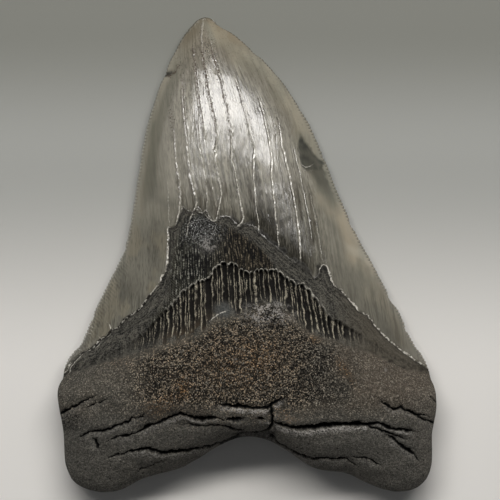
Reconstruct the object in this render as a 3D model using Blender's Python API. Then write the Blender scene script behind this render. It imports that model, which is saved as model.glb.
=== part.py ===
"""Fossil megalodon tooth, one solid: root, chevron neck and blade grew as one piece.

It lies on its flat outer (labial) face with the bulging inner (lingual) face up, the tip
towards +Y, and rests on a flat of the blade and on its two root lobes. Metres, +Z up, the
origin on the resting plane under the middle of the outline.

The solid is a cube primitive cut into a cage: its top and bottom are laid on the two faces
of the tooth, and its sides become the rim, which is a thin cutting edge round the blade and
a rounded wall round the root. The control points below are in millimetres of the drawing,
which is of a tooth DRAWN_LENGTH long; the cage is brought from there to SLANT_LENGTH.
"""

import math

import bmesh
import bpy
import numpy as np

MM = 0.001

# ---------------------------------------------------------------- driving dimensions
SLANT_LENGTH = 107.24    # tip to the far root lobe, the length a collector measures
ROOT_THICKNESS = 19.18   # at the boss in the middle of the root
EDGE_THICKNESS = 0.42    # cutting edge of the blade
DRAWN_LENGTH = 153.2     # slant length of the drawing
SIZE = SLANT_LENGTH / DRAWN_LENGTH
CELLS_ACROSS = 38        # cage cells from edge to edge
CELLS_ALONG = 44         # cage cells from the root to the tip

# ---------------------------------------------------------------- outline
Y_BASE_CORNER, Y_TIP_CORNER = -67.1, 70.3
# (y, x) up the left side of the root and the left cutting edge
LEFT_SIDE = [(-67.1, -52.5), (-64.1, -53.9), (-61.7, -54.4), (-53.9, -54.8), (-50.3, -55.4),
             (-44.3, -56.5), (-41.9, -56.7), (-40.1, -56.5), (-37.1, -55.1), (-34.7, -54.8),
             (-31.7, -53.7), (-28.7, -51.6), (-25.7, -49.2), (-22.7, -47.9), (-13.7, -44.1),
             (-4.7, -39.6), (4.3, -36.0), (10.3, -34.8), (26.8, -32.2), (37.3, -30.3),
             (46.3, -27.6), (52.3, -25.5), (58.3, -22.9), (64.3, -19.8), (67.3, -17.7),
             (70.3, -15.0)]
# (y, x) up the right side of the root and the right cutting edge
RIGHT_SIDE = [(-67.1, 53.7), (-64.7, 54.8), (-61.7, 55.3), (-54.5, 55.3), (-50.9, 55.8),
              (-44.9, 56.7), (-41.9, 56.5), (-39.5, 56.0), (-37.1, 55.0), (-32.3, 53.5),
              (-29.9, 52.2), (-27.5, 50.4), (-23.9, 48.4), (-16.7, 45.3), (-10.7, 41.8),
              (-1.7, 37.0), (7.3, 32.2), (16.3, 28.2), (20.8, 26.2), (28.3, 23.4),
              (37.3, 19.2), (46.3, 13.9), (52.3, 9.9), (61.3, 1.2), (64.3, -2.1),
              (67.3, -6.0), (68.6, -8.4), (70.3, -10.2)]
# (x, y) along the base: left lobe, the arch between the lobes, right lobe
BASE = [(-52.5, -67.1), (-51.0, -68.6), (-48.9, -69.8), (-46.2, -70.7), (-43.2, -71.2),
        (-40.2, -71.0), (-37.5, -70.3), (-32.1, -67.5), (-26.1, -65.6), (-18.9, -63.5),
        (-14.1, -60.8), (-8.1, -57.1), (-2.1, -54.8), (0.9, -54.5), (3.9, -54.9),
        (9.9, -57.5), (15.9, -61.5), (18.9, -63.3), (21.9, -64.4), (27.9, -65.1),
        (33.9, -67.4), (37.5, -69.1), (41.4, -70.4), (45.0, -71.0), (48.3, -70.7),
        (50.7, -69.8), (52.5, -68.5), (53.7, -67.1)]
# (x, y) over the blunt tip
TIP = [(-15.0, 70.3), (-13.8, 70.9), (-12.6, 71.2), (-11.4, 71.0), (-10.2, 70.3)]
# (x, y) where the root swells out of the neck, a chevron
ROOT_TOP = [(-54.3, -35.3), (-44.1, -32.0), (-32.1, -28.7), (-20.1, -25.1), (-11.7, -20.9),
            (-0.3, -16.7), (4.5, -14.3), (9.9, -15.5), (15.9, -20.3), (22.5, -24.5),
            (30.9, -27.2), (38.4, -29.3), (45.9, -33.2), (54.0, -34.7)]

# ---------------------------------------------------------------- heights over the resting plane
# (y, height) of the middle of the bulging face
RIDGE = [(-71.3, 19.5), (-63.2, 22.0), (-55.7, 25.2), (-49.7, 27.0), (-43.7, 27.4),
         (-37.7, 26.6), (-28.7, 24.2), (-19.7, 21.0), (-10.7, 19.4), (1.3, 18.2),
         (16.3, 16.4), (28.3, 14.7), (40.3, 12.6), (52.3, 9.9), (61.3, 7.2), (67.3, 4.9),
         (71.2, 3.2)]
# (y, height) of the middle of the flat face; below 0 it is worn down to the plane
FLAT_FACE = [(-71.3, 1.8), (-52.7, 1.8), (-40.7, 2.3), (-28.7, 2.8), (-13.7, 2.2), (1.3, 1.0),
             (16.3, 0.2), (26.8, -0.3), (46.3, -0.3), (53.8, 0.1), (64.3, 0.8), (71.2, 2.1)]
# (y, height) of the rim
RIM = [(-71.3, 9.6), (-49.7, 9.8), (-42.2, 8.8), (-36.2, 6.4), (-28.7, 4.6), (-13.7, 3.6),
       (16.3, 3.0), (58.3, 2.6), (71.2, 2.7)]
LOBES = [(-41.7, -62.3), (44.7, -62.3)]   # where the root lobes touch the resting plane
LOBE_REACH = (12.6, 7.8)                  # half-width and half-length of each lobe's foot
ROOT_ROLL = 10.2                          # how far in from the rim the root rounds over
UNDER_ROLL = 7.2                          # the same on the flat face


def smooth_curve(points, value):
    """Monotone cubic through (key, height) points, read at value."""
    x = np.array([p[0] for p in points], float)
    y = np.array([p[1] for p in points], float)
    h, d = np.diff(x), np.diff(y) / np.diff(x)
    m = np.zeros_like(y)
    total = np.where(d[:-1] + d[1:] == 0, 1, d[:-1] + d[1:])
    m[1:-1] = np.where(d[:-1] * d[1:] > 0, 2 * d[:-1] * d[1:] / total, 0)
    m[0], m[-1] = d[0], d[-1]
    value = np.clip(value, x[0], x[-1])
    i = np.clip(np.searchsorted(x, value) - 1, 0, len(h) - 1)
    t = (value - x[i]) / h[i]
    return ((1 + 2 * t) * (1 - t) ** 2 * y[i] + t * (1 - t) ** 2 * h[i] * m[i]
            + t * t * (3 - 2 * t) * y[i + 1] + t * t * (t - 1) * h[i] * m[i + 1])


def smoothstep(low, high, value):
    t = np.clip((value - low) / (high - low), 0, 1)
    return t * t * (3 - 2 * t)


# ---------------------------------------------------------------- plan of the tooth
def plan(across, along):
    """x, y for across in -1..1 (left edge to right edge) and along in 0..1 (base to tip)."""
    y_side = Y_BASE_CORNER + (Y_TIP_CORNER - Y_BASE_CORNER) * along
    left, right = smooth_curve(LEFT_SIDE, y_side), smooth_curve(RIGHT_SIDE, y_side)
    share = (across + 1) / 2
    x = left + (right - left) * share
    x_base = BASE[0][0] + (BASE[-1][0] - BASE[0][0]) * share
    x_tip = TIP[0][0] + (TIP[-1][0] - TIP[0][0]) * share
    near_base = (1 - smoothstep(0.0, 0.42, along)) * (1 - along)
    near_tip = smoothstep(0.93, 1.0, along)
    y = (y_side + (smooth_curve(BASE, x_base) - Y_BASE_CORNER) * near_base
         + (smooth_curve(TIP, x_tip) - Y_TIP_CORNER) * near_tip)
    return x, y


def rim_loop(count=220):
    """The outline as a closed run of points."""
    a, b = np.linspace(-1, 1, count), np.linspace(0, 1, count)
    one = np.ones(count)
    sides = [plan(a, 0 * one), plan(one, b), plan(a[::-1], one), plan(-one, b[::-1])]
    return np.concatenate([np.stack(s, 1)[:-1] for s in sides])


def distance_in(x, y, loop):
    """How far each point lies from the outline."""
    p = np.stack([x, y], 1)
    best = np.full(len(p), 1e9)
    for a, b in zip(loop, np.roll(loop, -1, 0)):
        d = b - a
        t = np.clip(((p - a) @ d) / max(d @ d, 1e-12), 0, 1)
        best = np.minimum(best, np.linalg.norm(p - a - t[:, None] * d, axis=1))
    return best


# ---------------------------------------------------------------- heights of the two faces
def rolled(share, power=2.3):
    """0 at the rim, rising steeply and levelling off at 1."""
    t = np.clip(share, 0, 1)
    return (1 - (1 - t) ** power) ** (1 / power)


def heights(across, x, y, inside):
    """Rim, bulging face and flat face over the resting plane."""
    s = np.abs(across)
    rim = smooth_curve(RIM, y)
    ridge = smooth_curve(RIDGE, y)
    below_neck = smooth_curve(ROOT_TOP, x) - y
    root = smoothstep(-1.8, 7.8, below_neck)
    # the blade is a lens that thins to its cutting edges and to the tip
    tip = smoothstep(58.3, 70.3, y)
    tip_round = 1 - tip + tip * np.sqrt(np.clip(inside / 3.6, 0, 1))
    lens = (1 - s ** 2.1) ** 0.86 * tip_round
    # the root sinks from its boss to the lobes and rolls over at the rim
    swell = (1 - 0.66 * s ** 1.7) * rolled(inside / ROOT_ROLL)
    top = rim + (ridge - rim) * ((1 - root) * lens + root * swell)
    # a shallow valley where the neck meets the root
    valley = np.exp(-((below_neck + 1.8) / 3.9) ** 2)
    top = top - 1.1 * valley * (1 - s ** 2) * smoothstep(0, 9.0, inside)
    top = top * ROOT_THICKNESS / (27.4 * SIZE)
    flat = smooth_curve(FLAT_FACE, y)
    for lx, ly in LOBES:
        away = ((x - lx) / LOBE_REACH[0]) ** 2 + ((y - ly) / LOBE_REACH[1]) ** 2
        flat = flat - (flat + 0.5) * np.exp(-away ** 1.5)
    wall = smoothstep(-33.5, -42.5, y)
    under = (1 - wall) * (1 - s ** 2.4) ** 0.75 * tip_round + wall * rolled(inside / UNDER_ROLL)
    bottom = np.maximum(rim - (rim - flat) * under, 0.0)
    # the cutting edge has a thickness of its own
    half_edge = EDGE_THICKNESS / SIZE / 2
    top = np.maximum(top, rim + half_edge)
    bottom = np.minimum(bottom, rim - half_edge)
    return rim, top, bottom


# ---------------------------------------------------------------- build
def clear_scene():
    for obj in list(bpy.data.objects):
        bpy.data.objects.remove(obj, do_unlink=True)


def cut_cube(across, along):
    """A cube primitive with its cage cut across, along and once through its thickness."""
    bm = bmesh.new()
    bmesh.ops.create_cube(bm, size=2.0)
    for axis, cuts in ((0, across - 1), (1, along - 1), (2, 1)):
        edges = [e for e in bm.edges
                 if abs(e.verts[0].co[axis] - e.verts[1].co[axis]) > 1e-4]
        bmesh.ops.subdivide_edges(bm, edges=edges, cuts=cuts, use_grid_fill=True)
    return bm


def lay_on_tooth(bm):
    cage = np.array([v.co for v in bm.verts])
    # cells crowd towards the rim, where the surface turns over
    across = 0.38 * cage[:, 0] + 0.62 * np.sin(cage[:, 0] * math.pi / 2)
    along = 0.5 + 0.35 * cage[:, 1] + 0.15 * np.sin(cage[:, 1] * math.pi / 2)
    along = along * (0.72 + 0.28 * np.sqrt(np.clip(along, 0, 1)))
    # the two faces start a little in from the rim ring
    side = np.abs(cage[:, 2]) < 0.5
    across = np.where(side, across, across * 0.988)
    along = np.where(side, along, 0.006 + along * 0.990)
    x, y = plan(across, along)
    rim, top, bottom = heights(across, x, y, distance_in(x, y, rim_loop()))
    z = np.where(cage[:, 2] > 0.5, top, np.where(cage[:, 2] < -0.5, bottom, rim))
    for vert, px, py, pz in zip(bm.verts, x * SIZE, y * SIZE, z * SIZE):
        vert.co = (px * MM, py * MM, pz * MM)


def fossil_material():
    mat = bpy.data.materials.new("dark_fossil")
    mat.use_nodes = True
    bsdf = mat.node_tree.nodes["Principled BSDF"]
    bsdf.inputs["Base Color"].default_value = (0.075, 0.070, 0.060, 1)
    bsdf.inputs["Roughness"].default_value = 0.5
    bsdf.inputs["Metallic"].default_value = 0.0
    return mat


def build_tooth():
    bm = cut_cube(CELLS_ACROSS, CELLS_ALONG)
    lay_on_tooth(bm)
    bmesh.ops.triangulate(bm, faces=bm.faces[:], quad_method="SHORT_EDGE")
    bmesh.ops.recalc_face_normals(bm, faces=bm.faces[:])
    mesh = bpy.data.meshes.new("tooth")
    bm.to_mesh(mesh)
    bm.free()
    mesh.shade_smooth()
    mesh.set_sharp_from_angle(angle=math.radians(50))
    mesh.materials.append(fossil_material())
    tooth = bpy.data.objects.new("tooth", mesh)
    group = bpy.data.collections.new("megalodon_tooth")
    bpy.context.scene.collection.children.link(group)
    group.objects.link(tooth)
    return tooth


def main():
    clear_scene()
    build_tooth()


if __name__ == "__main__":
    main()
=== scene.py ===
"""Looks of the fossil megalodon tooth: the fine surface, its materials, floor, light and camera.

The tooth is one closed mesh that stands for the CAD node. It is laid out on the same plan and
heights as the solid, on a much finer grid, and then carved: serrated edges, the step where the
enamel ends, the comb of ridges in the neck, the cracks, the boss and the grain of the root.
Plan positions are given in squares, x to the right and y down from above the tip. Heights
and depths are in millimetres of the drawing, which is 1 / 0.7 of the real tooth.
"""

import math

import bpy
import numpy as np
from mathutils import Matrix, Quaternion, Vector


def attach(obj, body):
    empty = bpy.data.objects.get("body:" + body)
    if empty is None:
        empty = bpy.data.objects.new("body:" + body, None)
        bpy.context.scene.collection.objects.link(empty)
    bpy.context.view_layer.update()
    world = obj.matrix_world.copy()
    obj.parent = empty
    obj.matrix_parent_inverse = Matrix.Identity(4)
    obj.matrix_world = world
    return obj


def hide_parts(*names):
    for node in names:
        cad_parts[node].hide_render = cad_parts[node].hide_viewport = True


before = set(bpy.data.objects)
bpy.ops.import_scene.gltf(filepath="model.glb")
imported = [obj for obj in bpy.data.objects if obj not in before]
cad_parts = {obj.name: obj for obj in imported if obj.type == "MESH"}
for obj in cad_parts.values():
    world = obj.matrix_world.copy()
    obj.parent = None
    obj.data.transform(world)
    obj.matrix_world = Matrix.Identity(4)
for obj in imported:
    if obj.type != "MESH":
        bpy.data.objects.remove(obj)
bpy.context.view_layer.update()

SQ = 0.3                       # millimetres of the drawing in a square
CX, CY = 247.0, 254.25         # the square over the origin
REAL = 0.7                     # real size of the tooth over the drawing's
MM = 0.001 * REAL              # metres in a millimetre of the drawing
SERRATION = 1.035              # pitch of the serrations, 14 to the real centimetre
TARGET_TRIANGLES = 196000

# ================================================================ plan, in squares
LEFT_SIDE = [(20, 197), (25, 192.3), (30, 188), (40, 181), (50, 176), (60, 170.5), (70, 166),
             (80, 162), (90, 158.3), (100, 155), (115, 150), (130, 146), (150, 142),
             (165, 139.8), (180, 137.3), (200, 134.5), (220, 131), (240, 127), (255, 122.3),
             (270, 115), (285, 107.5), (300, 100), (315, 93), (330, 87.5), (340, 83), (350, 75),
             (360, 68), (370, 64.3), (378, 63.3), (382, 61), (388, 58.6), (394, 58),
             (402, 58.8), (412, 60.5), (422, 62.5), (434, 64.3), (448, 64.8), (460, 65.5),
             (468, 67.5), (478, 72)]
RIGHT_SIDE = [(19.7, 213), (22, 216), (25.5, 219), (27, 222), (30, 227), (35, 234.5),
              (40, 240.5), (50, 252), (60, 263), (70, 272), (80, 280.8), (90, 287.9), (100, 294.3),
              (110, 300.8), (120, 306.8), (130, 311.8), (140, 316.4), (150, 320.5), (160, 324.8),
              (170, 329), (185, 334.3), (200, 341), (215, 347.5), (230, 354.5), (245, 362),
              (260, 370.5), (275, 378.5), (290, 386.3), (300, 391.5), (310, 398), (322, 403.5),
              (334, 408.5), (346, 415), (354, 421), (362, 425.5), (370, 428.5), (378, 430.3),
              (386, 433.7), (394, 435.5), (404, 436), (414, 435), (424, 433), (436, 431.3),
              (450, 431.5), (460, 431.3), (470, 429.5), (478, 426)]
BASE = [(72, 478), (77, 483), (84, 487), (93, 490), (103, 491.5), (113, 491), (122, 488.7),
        (131, 484.3), (140, 479.3), (149, 476), (160, 473), (172, 470), (184, 466),
        (192, 461.3), (200, 457), (210, 450.5), (220, 444.7), (230, 440), (240, 436.8),
        (250, 436), (260, 437.3), (270, 440.5), (280, 446), (290, 452), (300, 459.2),
        (310, 465.3), (320, 469), (330, 470.5), (340, 471.3), (350, 474), (360, 479),
        (372, 484.6), (385, 489), (397, 491), (408, 490), (416, 487), (422, 482.6), (426, 478)]
TIP = [(197, 20), (201, 18), (205, 17), (209, 17.6), (213, 19.7)]
Y_TIP_CORNER, Y_BASE_CORNER = 20.0, 478.0

# where the enamel ends on the bulging face, left to right
ENAMEL_END = [(56, 380), (66, 372), (70, 366), (74, 361), (78, 357), (83, 353), (93, 349),
              (98, 344), (102, 339), (110, 334), (113, 330), (119, 328), (126, 319),
              (135, 313), (141, 309), (146, 302), (150, 297), (155, 290), (160, 284),
              (163, 277), (167, 269), (168.6, 262), (169, 250), (169.4, 228), (172, 228),
              (176, 226), (178, 221), (181, 212), (184, 207), (188, 211), (192, 212),
              (196, 208), (199, 213), (203, 213), (207, 211), (209, 216), (212, 221),
              (217, 221), (220, 217), (230, 217), (235, 223), (240, 227), (244, 224),
              (252, 226), (257, 229), (260, 234), (270, 243), (277, 248), (283, 253),
              (288, 258), (299, 264), (304, 268), (310, 274), (315, 278), (318, 276),
              (320, 268), (322, 264), (325, 266), (328, 272), (330, 280), (334, 286),
              (340, 290), (347, 298), (352, 304), (358, 311), (367, 316), (372, 323),
              (378, 330), (385, 338), (400, 350), (415, 361), (427, 368), (440, 374)]
# the overhanging lip over the comb
COMB_LIP = [(56, 376), (66, 372.5), (93, 362), (120, 350), (135, 342), (145, 335), (152, 328),
            (160, 318), (168, 310), (175, 303), (180, 296), (186, 291), (190, 288), (194, 285),
            (199, 282), (204, 281), (210, 279), (213, 273), (217, 267), (222, 264), (226, 264),
            (229, 268), (232, 264), (236, 266), (240, 270), (246, 272), (252, 273), (258, 271),
            (263, 270), (268, 272), (274, 270), (282, 276), (290, 281), (295, 285), (302, 285),
            (310, 294), (315, 301), (325, 313), (330, 319), (336, 320), (350, 330), (370, 342),
            (392, 356), (418, 368), (440, 376)]
# where the root begins
ROOT_TOP = [(56, 378), (66, 373), (100, 361.5), (120, 356), (140, 350), (160, 344), (180, 338),
            (200, 331), (208, 324), (214, 318), (222, 318), (230, 315), (246, 310), (255, 307),
            (262, 302), (270, 303), (280, 306), (290, 312), (300, 322), (310, 330), (322, 336),
            (335, 339), (350, 345), (375, 352), (390, 360), (405, 367), (427, 371), (440, 378)]
# the crackled middle of the neck lies under this line
MIDDLE_ZONE = [(150, 320), (168, 300), (172, 262), (176, 236), (188, 216), (202, 214), (218, 223),
               (233, 229), (246, 237), (262, 249), (270, 259), (275, 275), (280, 300), (300, 330)]
# the root's chevron as the solid has it, in millimetres
NECK = [(-54.3, -35.3), (-44.1, -32.0), (-32.1, -28.7), (-20.1, -25.1), (-11.7, -20.9),
        (-0.3, -16.7), (4.5, -14.3), (9.9, -15.5), (15.9, -20.3), (22.5, -24.5),
        (30.9, -27.2), (38.4, -29.3), (45.9, -33.2), (54.0, -34.7)]

# ================================================================ heights, in millimetres
RIDGE = [(-71.3, 19.5), (-63.2, 22.0), (-55.7, 25.2), (-49.7, 27.0), (-43.7, 27.4),
         (-37.7, 26.6), (-28.7, 24.2), (-19.7, 21.0), (-10.7, 19.4), (1.3, 18.2),
         (16.3, 16.4), (28.3, 14.7), (40.3, 12.6), (52.3, 9.9), (61.3, 7.2), (67.3, 4.9),
         (71.2, 3.2)]
FLAT_FACE = [(-71.3, 1.8), (-52.7, 1.8), (-40.7, 2.3), (-28.7, 2.8), (-13.7, 2.2), (1.3, 1.0),
             (16.3, 0.2), (26.8, -0.3), (46.3, -0.3), (53.8, 0.1), (64.3, 0.8), (71.2, 2.1)]
RIM = [(-71.3, 9.6), (-49.7, 9.8), (-42.2, 8.8), (-36.2, 6.4), (-28.7, 4.6), (-13.7, 3.6),
       (16.3, 3.0), (58.3, 2.6), (71.2, 2.7)]
LOBES = [(-41.7, -62.3), (44.7, -62.3)]
LOBE_REACH = (12.6, 7.8)
ROOT_ROLL, UNDER_ROLL = 10.2, 7.2
EDGE_THICKNESS = 0.6

# ================================================================ cracks, in squares
# the line that the enamel's grain follows from the tip to the neck
GRAIN_LINE = [(15, 203), (20, 204), (30, 207), (40, 210), (55, 213), (72, 218), (83, 221),
              (95, 223.5), (110, 227.5), (130, 230), (150, 231.5), (167, 234), (188, 238),
              (200, 240), (226, 243), (260, 246), (320, 250), (500, 256)]
GRAIN_SPREAD = [(15, 0.35), (25, 0.5), (45, 0.68), (75, 0.82), (100, 0.92), (130, 1.0),
                (200, 1.03), (300, 1.12), (500, 1.3)]
# (width in squares, depth in mm, how bright the painted highlight on its lit lip is, how dark its line is, partly its
# own dark filling and partly painted shade along one wall, points)
ENAMEL_CRACKS = [
    (0.55, 0.10, 0.5, 0.5, [(171, 110), (175, 130), (176, 148), (178, 165), (180, 180)]),
    (0.70, 0.14, 0.9, 0.5, [(180, 178), (180.5, 190), (181, 200), (179, 212), (176, 224)]),
    (0.45, 0.05, 0.3, 0.2, [(168, 180), (169, 205), (170, 225)]),
    (0.70, 0.16, 0.9, 0.7, [(183, 75), (184, 100), (186, 125), (188, 145), (189, 160),
                            (192, 180), (195, 190), (197, 203), (194, 211), (191, 217),
                            (188, 226), (187, 236)]),
    (0.40, 0.03, 0.15, 0.1, [(187, 236), (181, 243), (175, 248)]),
    (0.60, 0.10, 1.0, 0.2, [(202.6, 20), (202, 30), (201.6, 40), (203, 50)]),
    (0.45, 0.05, 0.0, 0.9, [(165, 76), (170, 76.5), (175, 73), (180, 65)]),
    (0.50, 0.05, 0.50, 0.0, [(300, 163), (301.5, 166), (304.5, 168), (308.5, 167.5), (311.5, 165)]),
    (0.60, 0.14, 0.7, 0.9, [(193, 45), (196, 70), (198, 90), (201, 110), (204, 127),
                            (205, 142)]),
    (0.50, 0.10, 0.5, 0.5, [(197, 115), (199, 140), (203, 160), (206, 180), (208, 200),
                            (207, 210)]),
    (0.70, 0.18, 0.7, 1.0, [(203, 20), (202, 35), (203, 50), (204, 65), (206, 75), (209, 95),
                            (213, 110), (215, 120), (216, 130), (217, 140), (215, 152)]),
    (0.70, 0.15, 1.0, 0.7, [(215, 150), (217, 168), (219, 178), (221, 188), (221.5, 197),
                            (219, 207), (217, 219)]),
    (0.80, 0.18, 1.0, 0.9, [(211, 40), (213, 55), (218, 72), (221, 83), (223, 95), (228, 110),
                            (230, 130), (232, 150), (231, 160), (234, 167), (236, 177),
                            (238, 190), (241, 207), (243, 217), (241.5, 223), (237, 226.5)]),
    (0.60, 0.13, 0.7, 0.7, [(235, 78), (240, 97), (245, 115), (249, 133), (254, 150),
                            (253, 160), (254, 190), (256, 210), (257.5, 221), (258.5, 231)]),
    (0.45, 0.07, 0.4, 0.4, [(247, 110), (252, 130), (254, 140)]),
    (0.65, 0.13, 0.9, 0.5, [(259, 100), (262, 112), (266, 130), (270, 150), (271, 160),
                            (271, 180), (274, 205), (276, 225), (278, 246)]),
    (0.60, 0.11, 0.7, 0.5, [(277, 115), (281, 145), (285, 160), (290, 183), (294, 205),
                            (298, 232), (300, 260)]),
    (0.50, 0.07, 0.3, 0.4, [(292, 145), (298, 170), (303, 195), (308, 220), (311, 240)]),
    (0.45, 0.05, 0.16, 0.3, [(308, 190), (314, 218), (318, 240), (321, 257), (323, 264)]),
    (0.60, 0.04, 0.9, 0.0, [(209, 322), (214, 317), (220, 313), (227, 310.5)]),
    # curled ends of the enamel between the cracks
    (0.60, 0.08, 0.0, 1.0, [(170, 226), (173, 228.5), (176.5, 227.5)]),
    (0.55, 0.08, 0.0, 1.0, [(182, 202), (186, 210), (190.5, 215), (193, 213), (198, 206),
                            (201, 209), (204, 213), (208, 212)]),
    (0.50, 0.05, 0.6, 0.0, [(204, 214), (209, 219), (213, 222), (217, 221)]),
    (0.50, 0.05, 0.0, 0.9, [(231, 226), (235, 228), (239, 227)]),
    (0.60, 0.08, 0.0, 1.0, [(320, 264), (323, 264.5), (326, 266)]),
    # broken scraps on the low left of the blade
    (0.80, 0.06, 1.0, 0.2, [(108.5, 322), (110.5, 327), (112.8, 331)]),
    (0.55, 0.06, 0.7, 0.2, [(113, 331), (111, 334), (108, 337)]),
    (0.90, 0.06, 1.0, 0.1, [(98.5, 336), (101, 338), (102.8, 340)]),
    (0.60, 0.06, 0.8, 0.2, [(102.5, 340), (99.5, 345), (96, 348)]),
    (0.60, 0.06, 0.8, 0.2, [(94, 348), (90, 350), (86.5, 352)]),
    (0.75, 0.06, 0.9, 0.2, [(85.5, 352), (80, 357.5), (75, 362), (71.5, 367), (68, 372)]),
    (0.60, 0.08, 0.0, 1.0, [(81, 342), (84, 344), (89, 347.5)]),
    (0.55, 0.06, 0.5, 0.5, [(86, 330), (88, 333), (91, 334.5)]),
    (0.55, 0.06, 0.5, 0.6, [(76, 348), (79, 350), (82, 351)]),
    (0.45, 0.05, 0.3, 0.7, [(90, 325), (93, 328), (97, 329)]),
]
# (half widths and points in squares, how bright the painted highlight on the lower lip is); depth follows the width
ROOT_CRACKS = [
    (0.1, [(58, 415, 1.2), (61, 413, 1.2), (66, 409, 1.2), (73, 406, 1.0), (78, 404, 1.1),
           (82, 401, 0.8), (87, 398, 0.9), (92, 396, 0.7), (98, 394, 0.2)]),
    (0.1, [(86, 406.5, 0.2), (92, 404, 0.8), (97, 401, 0.5), (103, 399.5, 0.8), (110, 396.5, 0.1)]),
    (0.2, [(79, 436.5, 0.2), (88, 432, 0.8), (97, 430, 1.1), (106, 429, 0.9), (112, 427, 1.1),
           (116, 424, 0.9), (122, 423, 0.7), (127, 421, 1.0), (132, 417, 0.8), (138, 416, 0.5),
           (143, 414, 0.8), (147, 411, 0.1)]),
    (0.3, [(109, 439.5, 0.2), (116, 436, 0.8), (121, 434.5, 0.6), (128, 434, 0.9),
           (133, 432, 0.7), (137, 431, 0.6), (142, 428.5, 1.0), (147, 425, 1.6),
           (152, 423, 1.3), (158, 421, 1.0), (165, 418, 1.2), (171, 415, 1.3),
           (177, 413, 1.1), (182, 411, 1.5), (188, 413.5, 1.0), (195, 416, 1.2),
           (203, 417, 1.8), (212, 415.6, 1.6), (219, 416, 0.7), (224, 417.5, 0.3)]),
    (0.0, [(186, 421, 0.2), (194, 423, 0.8), (203, 425, 0.6), (211, 424.5, 0.8),
           (222, 424, 0.9), (233, 426, 1.0), (240, 428, 1.1), (248, 431, 1.4),
           (256, 431, 1.2), (263, 430.5, 1.4), (268, 428, 1.6), (271, 424, 1.5),
           (272, 416, 1.2), (271.7, 410, 1.3), (271, 404, 1.3)]),
    (0.0, [(226, 418.5, 0.3), (231, 417.6, 1.5), (237, 417.2, 1.5), (243, 416.4, 0.6),
           (246, 416, 0.1)]),
    (0.3, [(109, 456.5, 0.2), (117, 454, 0.7), (125, 452, 0.6), (132, 449.5, 1.0),
           (139, 448, 1.2), (146, 447, 1.7), (152, 448.5, 1.8), (158, 450, 1.3),
           (163, 452, 1.3), (170, 451.3, 2.0), (180, 450.5, 2.0), (188, 450, 1.6),
           (197, 448, 1.0), (205, 446.5, 0.9), (215, 444, 0.8), (225, 441, 0.9),
           (234, 437.5, 0.7), (243, 433.5, 0.9)]),
    (1.0, [(216, 401, 0.2), (223, 402.5, 0.8), (230, 403, 1.1), (236, 403.5, 1.6),
           (242, 404.3, 1.7), (248, 405, 1.0), (256, 406, 1.2), (263, 405.3, 1.2),
           (268, 404.5, 1.6), (273, 402, 1.5), (277, 398.5, 1.0), (281, 396, 0.6),
           (290, 395, 0.3), (300, 395.2, 0.4), (306, 396.5, 0.1)]),
    (0.9, [(270, 420.5, 1.0), (275, 421.5, 1.2), (281, 423.5, 1.6), (288, 425.3, 1.8),
           (296, 426.3, 2.2), (305, 426, 2.4), (315, 425, 2.4), (325, 423.5, 2.4),
           (335, 422.7, 2.3), (345, 422, 2.2), (355, 422.3, 2.1), (363, 422.6, 1.9),
           (370, 422.4, 1.3), (377, 421.2, 0.9), (383, 423.5, 1.0), (388, 426, 1.4),
           (395, 428, 1.3), (402, 428.3, 1.0), (409, 430, 0.8), (419, 430.5, 0.1)]),
    (0.3, [(368, 424, 0.6), (374, 426.5, 0.9), (380, 429, 0.8), (386, 430.5, 0.9),
           (394, 434, 0.9), (402, 437, 0.7), (408, 437.5, 0.1)]),
    (0.2, [(384, 432, 0.3), (391, 436, 0.9), (395, 440, 1.2), (402, 445, 1.4),
           (409, 450, 1.3), (414, 453, 0.9), (419, 460, 0.2)]),
    (0.2, [(377, 396.5, 0.2), (383, 401, 0.8), (389, 405, 1.0), (393, 408, 1.4),
           (397, 407, 1.2), (400, 405.5, 1.0), (404, 408, 0.9), (410, 410, 1.1),
           (415, 413, 1.2), (419, 414.5, 1.0), (424, 413.6, 0.6), (430, 415.5, 0.2)]),
    (0.2, [(416, 414.5, 0.6), (422, 418, 1.0), (428, 420, 0.9), (437, 423, 1.2)]),
    (0.0, [(427, 393.5, 0.2), (430.5, 397, 0.5), (436, 402, 0.5)]),
    (0.2, [(270, 437, 1.0), (277, 441.5, 0.9), (285, 446, 0.9), (293, 450, 1.2),
           (300, 453, 0.9), (306, 456, 1.1), (313, 458.3, 1.0), (320, 458, 0.9),
           (327, 457.5, 0.8), (333, 459, 0.9), (340, 457.7, 1.0), (346, 458, 0.7),
           (352, 463, 0.5), (359, 467, 0.1)]),
    (0.2, [(351, 456.5, 0.2), (356, 457, 0.8), (364, 457, 0.7), (369, 458, 0.8),
           (374, 461, 0.9), (381, 465, 0.1)]),
    (0.0, [(137, 471.5, 0.1), (142, 468, 0.7), (147, 466, 0.3), (152, 464, 0.6),
           (158, 461, 0.3), (168, 459, 0.1)]),
    (0.0, [(93, 436, 0.3), (95.5, 439, 1.2), (98, 443.5, 1.6), (99, 446, 0.8)]),
]


# ================================================================ curves and noise
def smooth_curve(points, value):
    """Monotone cubic through (key, height) points, read at value."""
    x = np.array([p[0] for p in points], float)
    y = np.array([p[1] for p in points], float)
    h, d = np.diff(x), np.diff(y) / np.diff(x)
    m = np.zeros_like(y)
    total = np.where(d[:-1] + d[1:] == 0, 1, d[:-1] + d[1:])
    m[1:-1] = np.where(d[:-1] * d[1:] > 0, 2 * d[:-1] * d[1:] / total, 0)
    m[0], m[-1] = d[0], d[-1]
    value = np.clip(value, x[0], x[-1])
    i = np.clip(np.searchsorted(x, value) - 1, 0, len(h) - 1)
    t = (value - x[i]) / h[i]
    return ((1 + 2 * t) * (1 - t) ** 2 * y[i] + t * (1 - t) ** 2 * h[i] * m[i]
            + t * t * (3 - 2 * t) * y[i + 1] + t * t * (t - 1) * h[i] * m[i + 1])


def broken_line(points, value):
    return np.interp(value, [p[0] for p in points], [p[1] for p in points])


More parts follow.
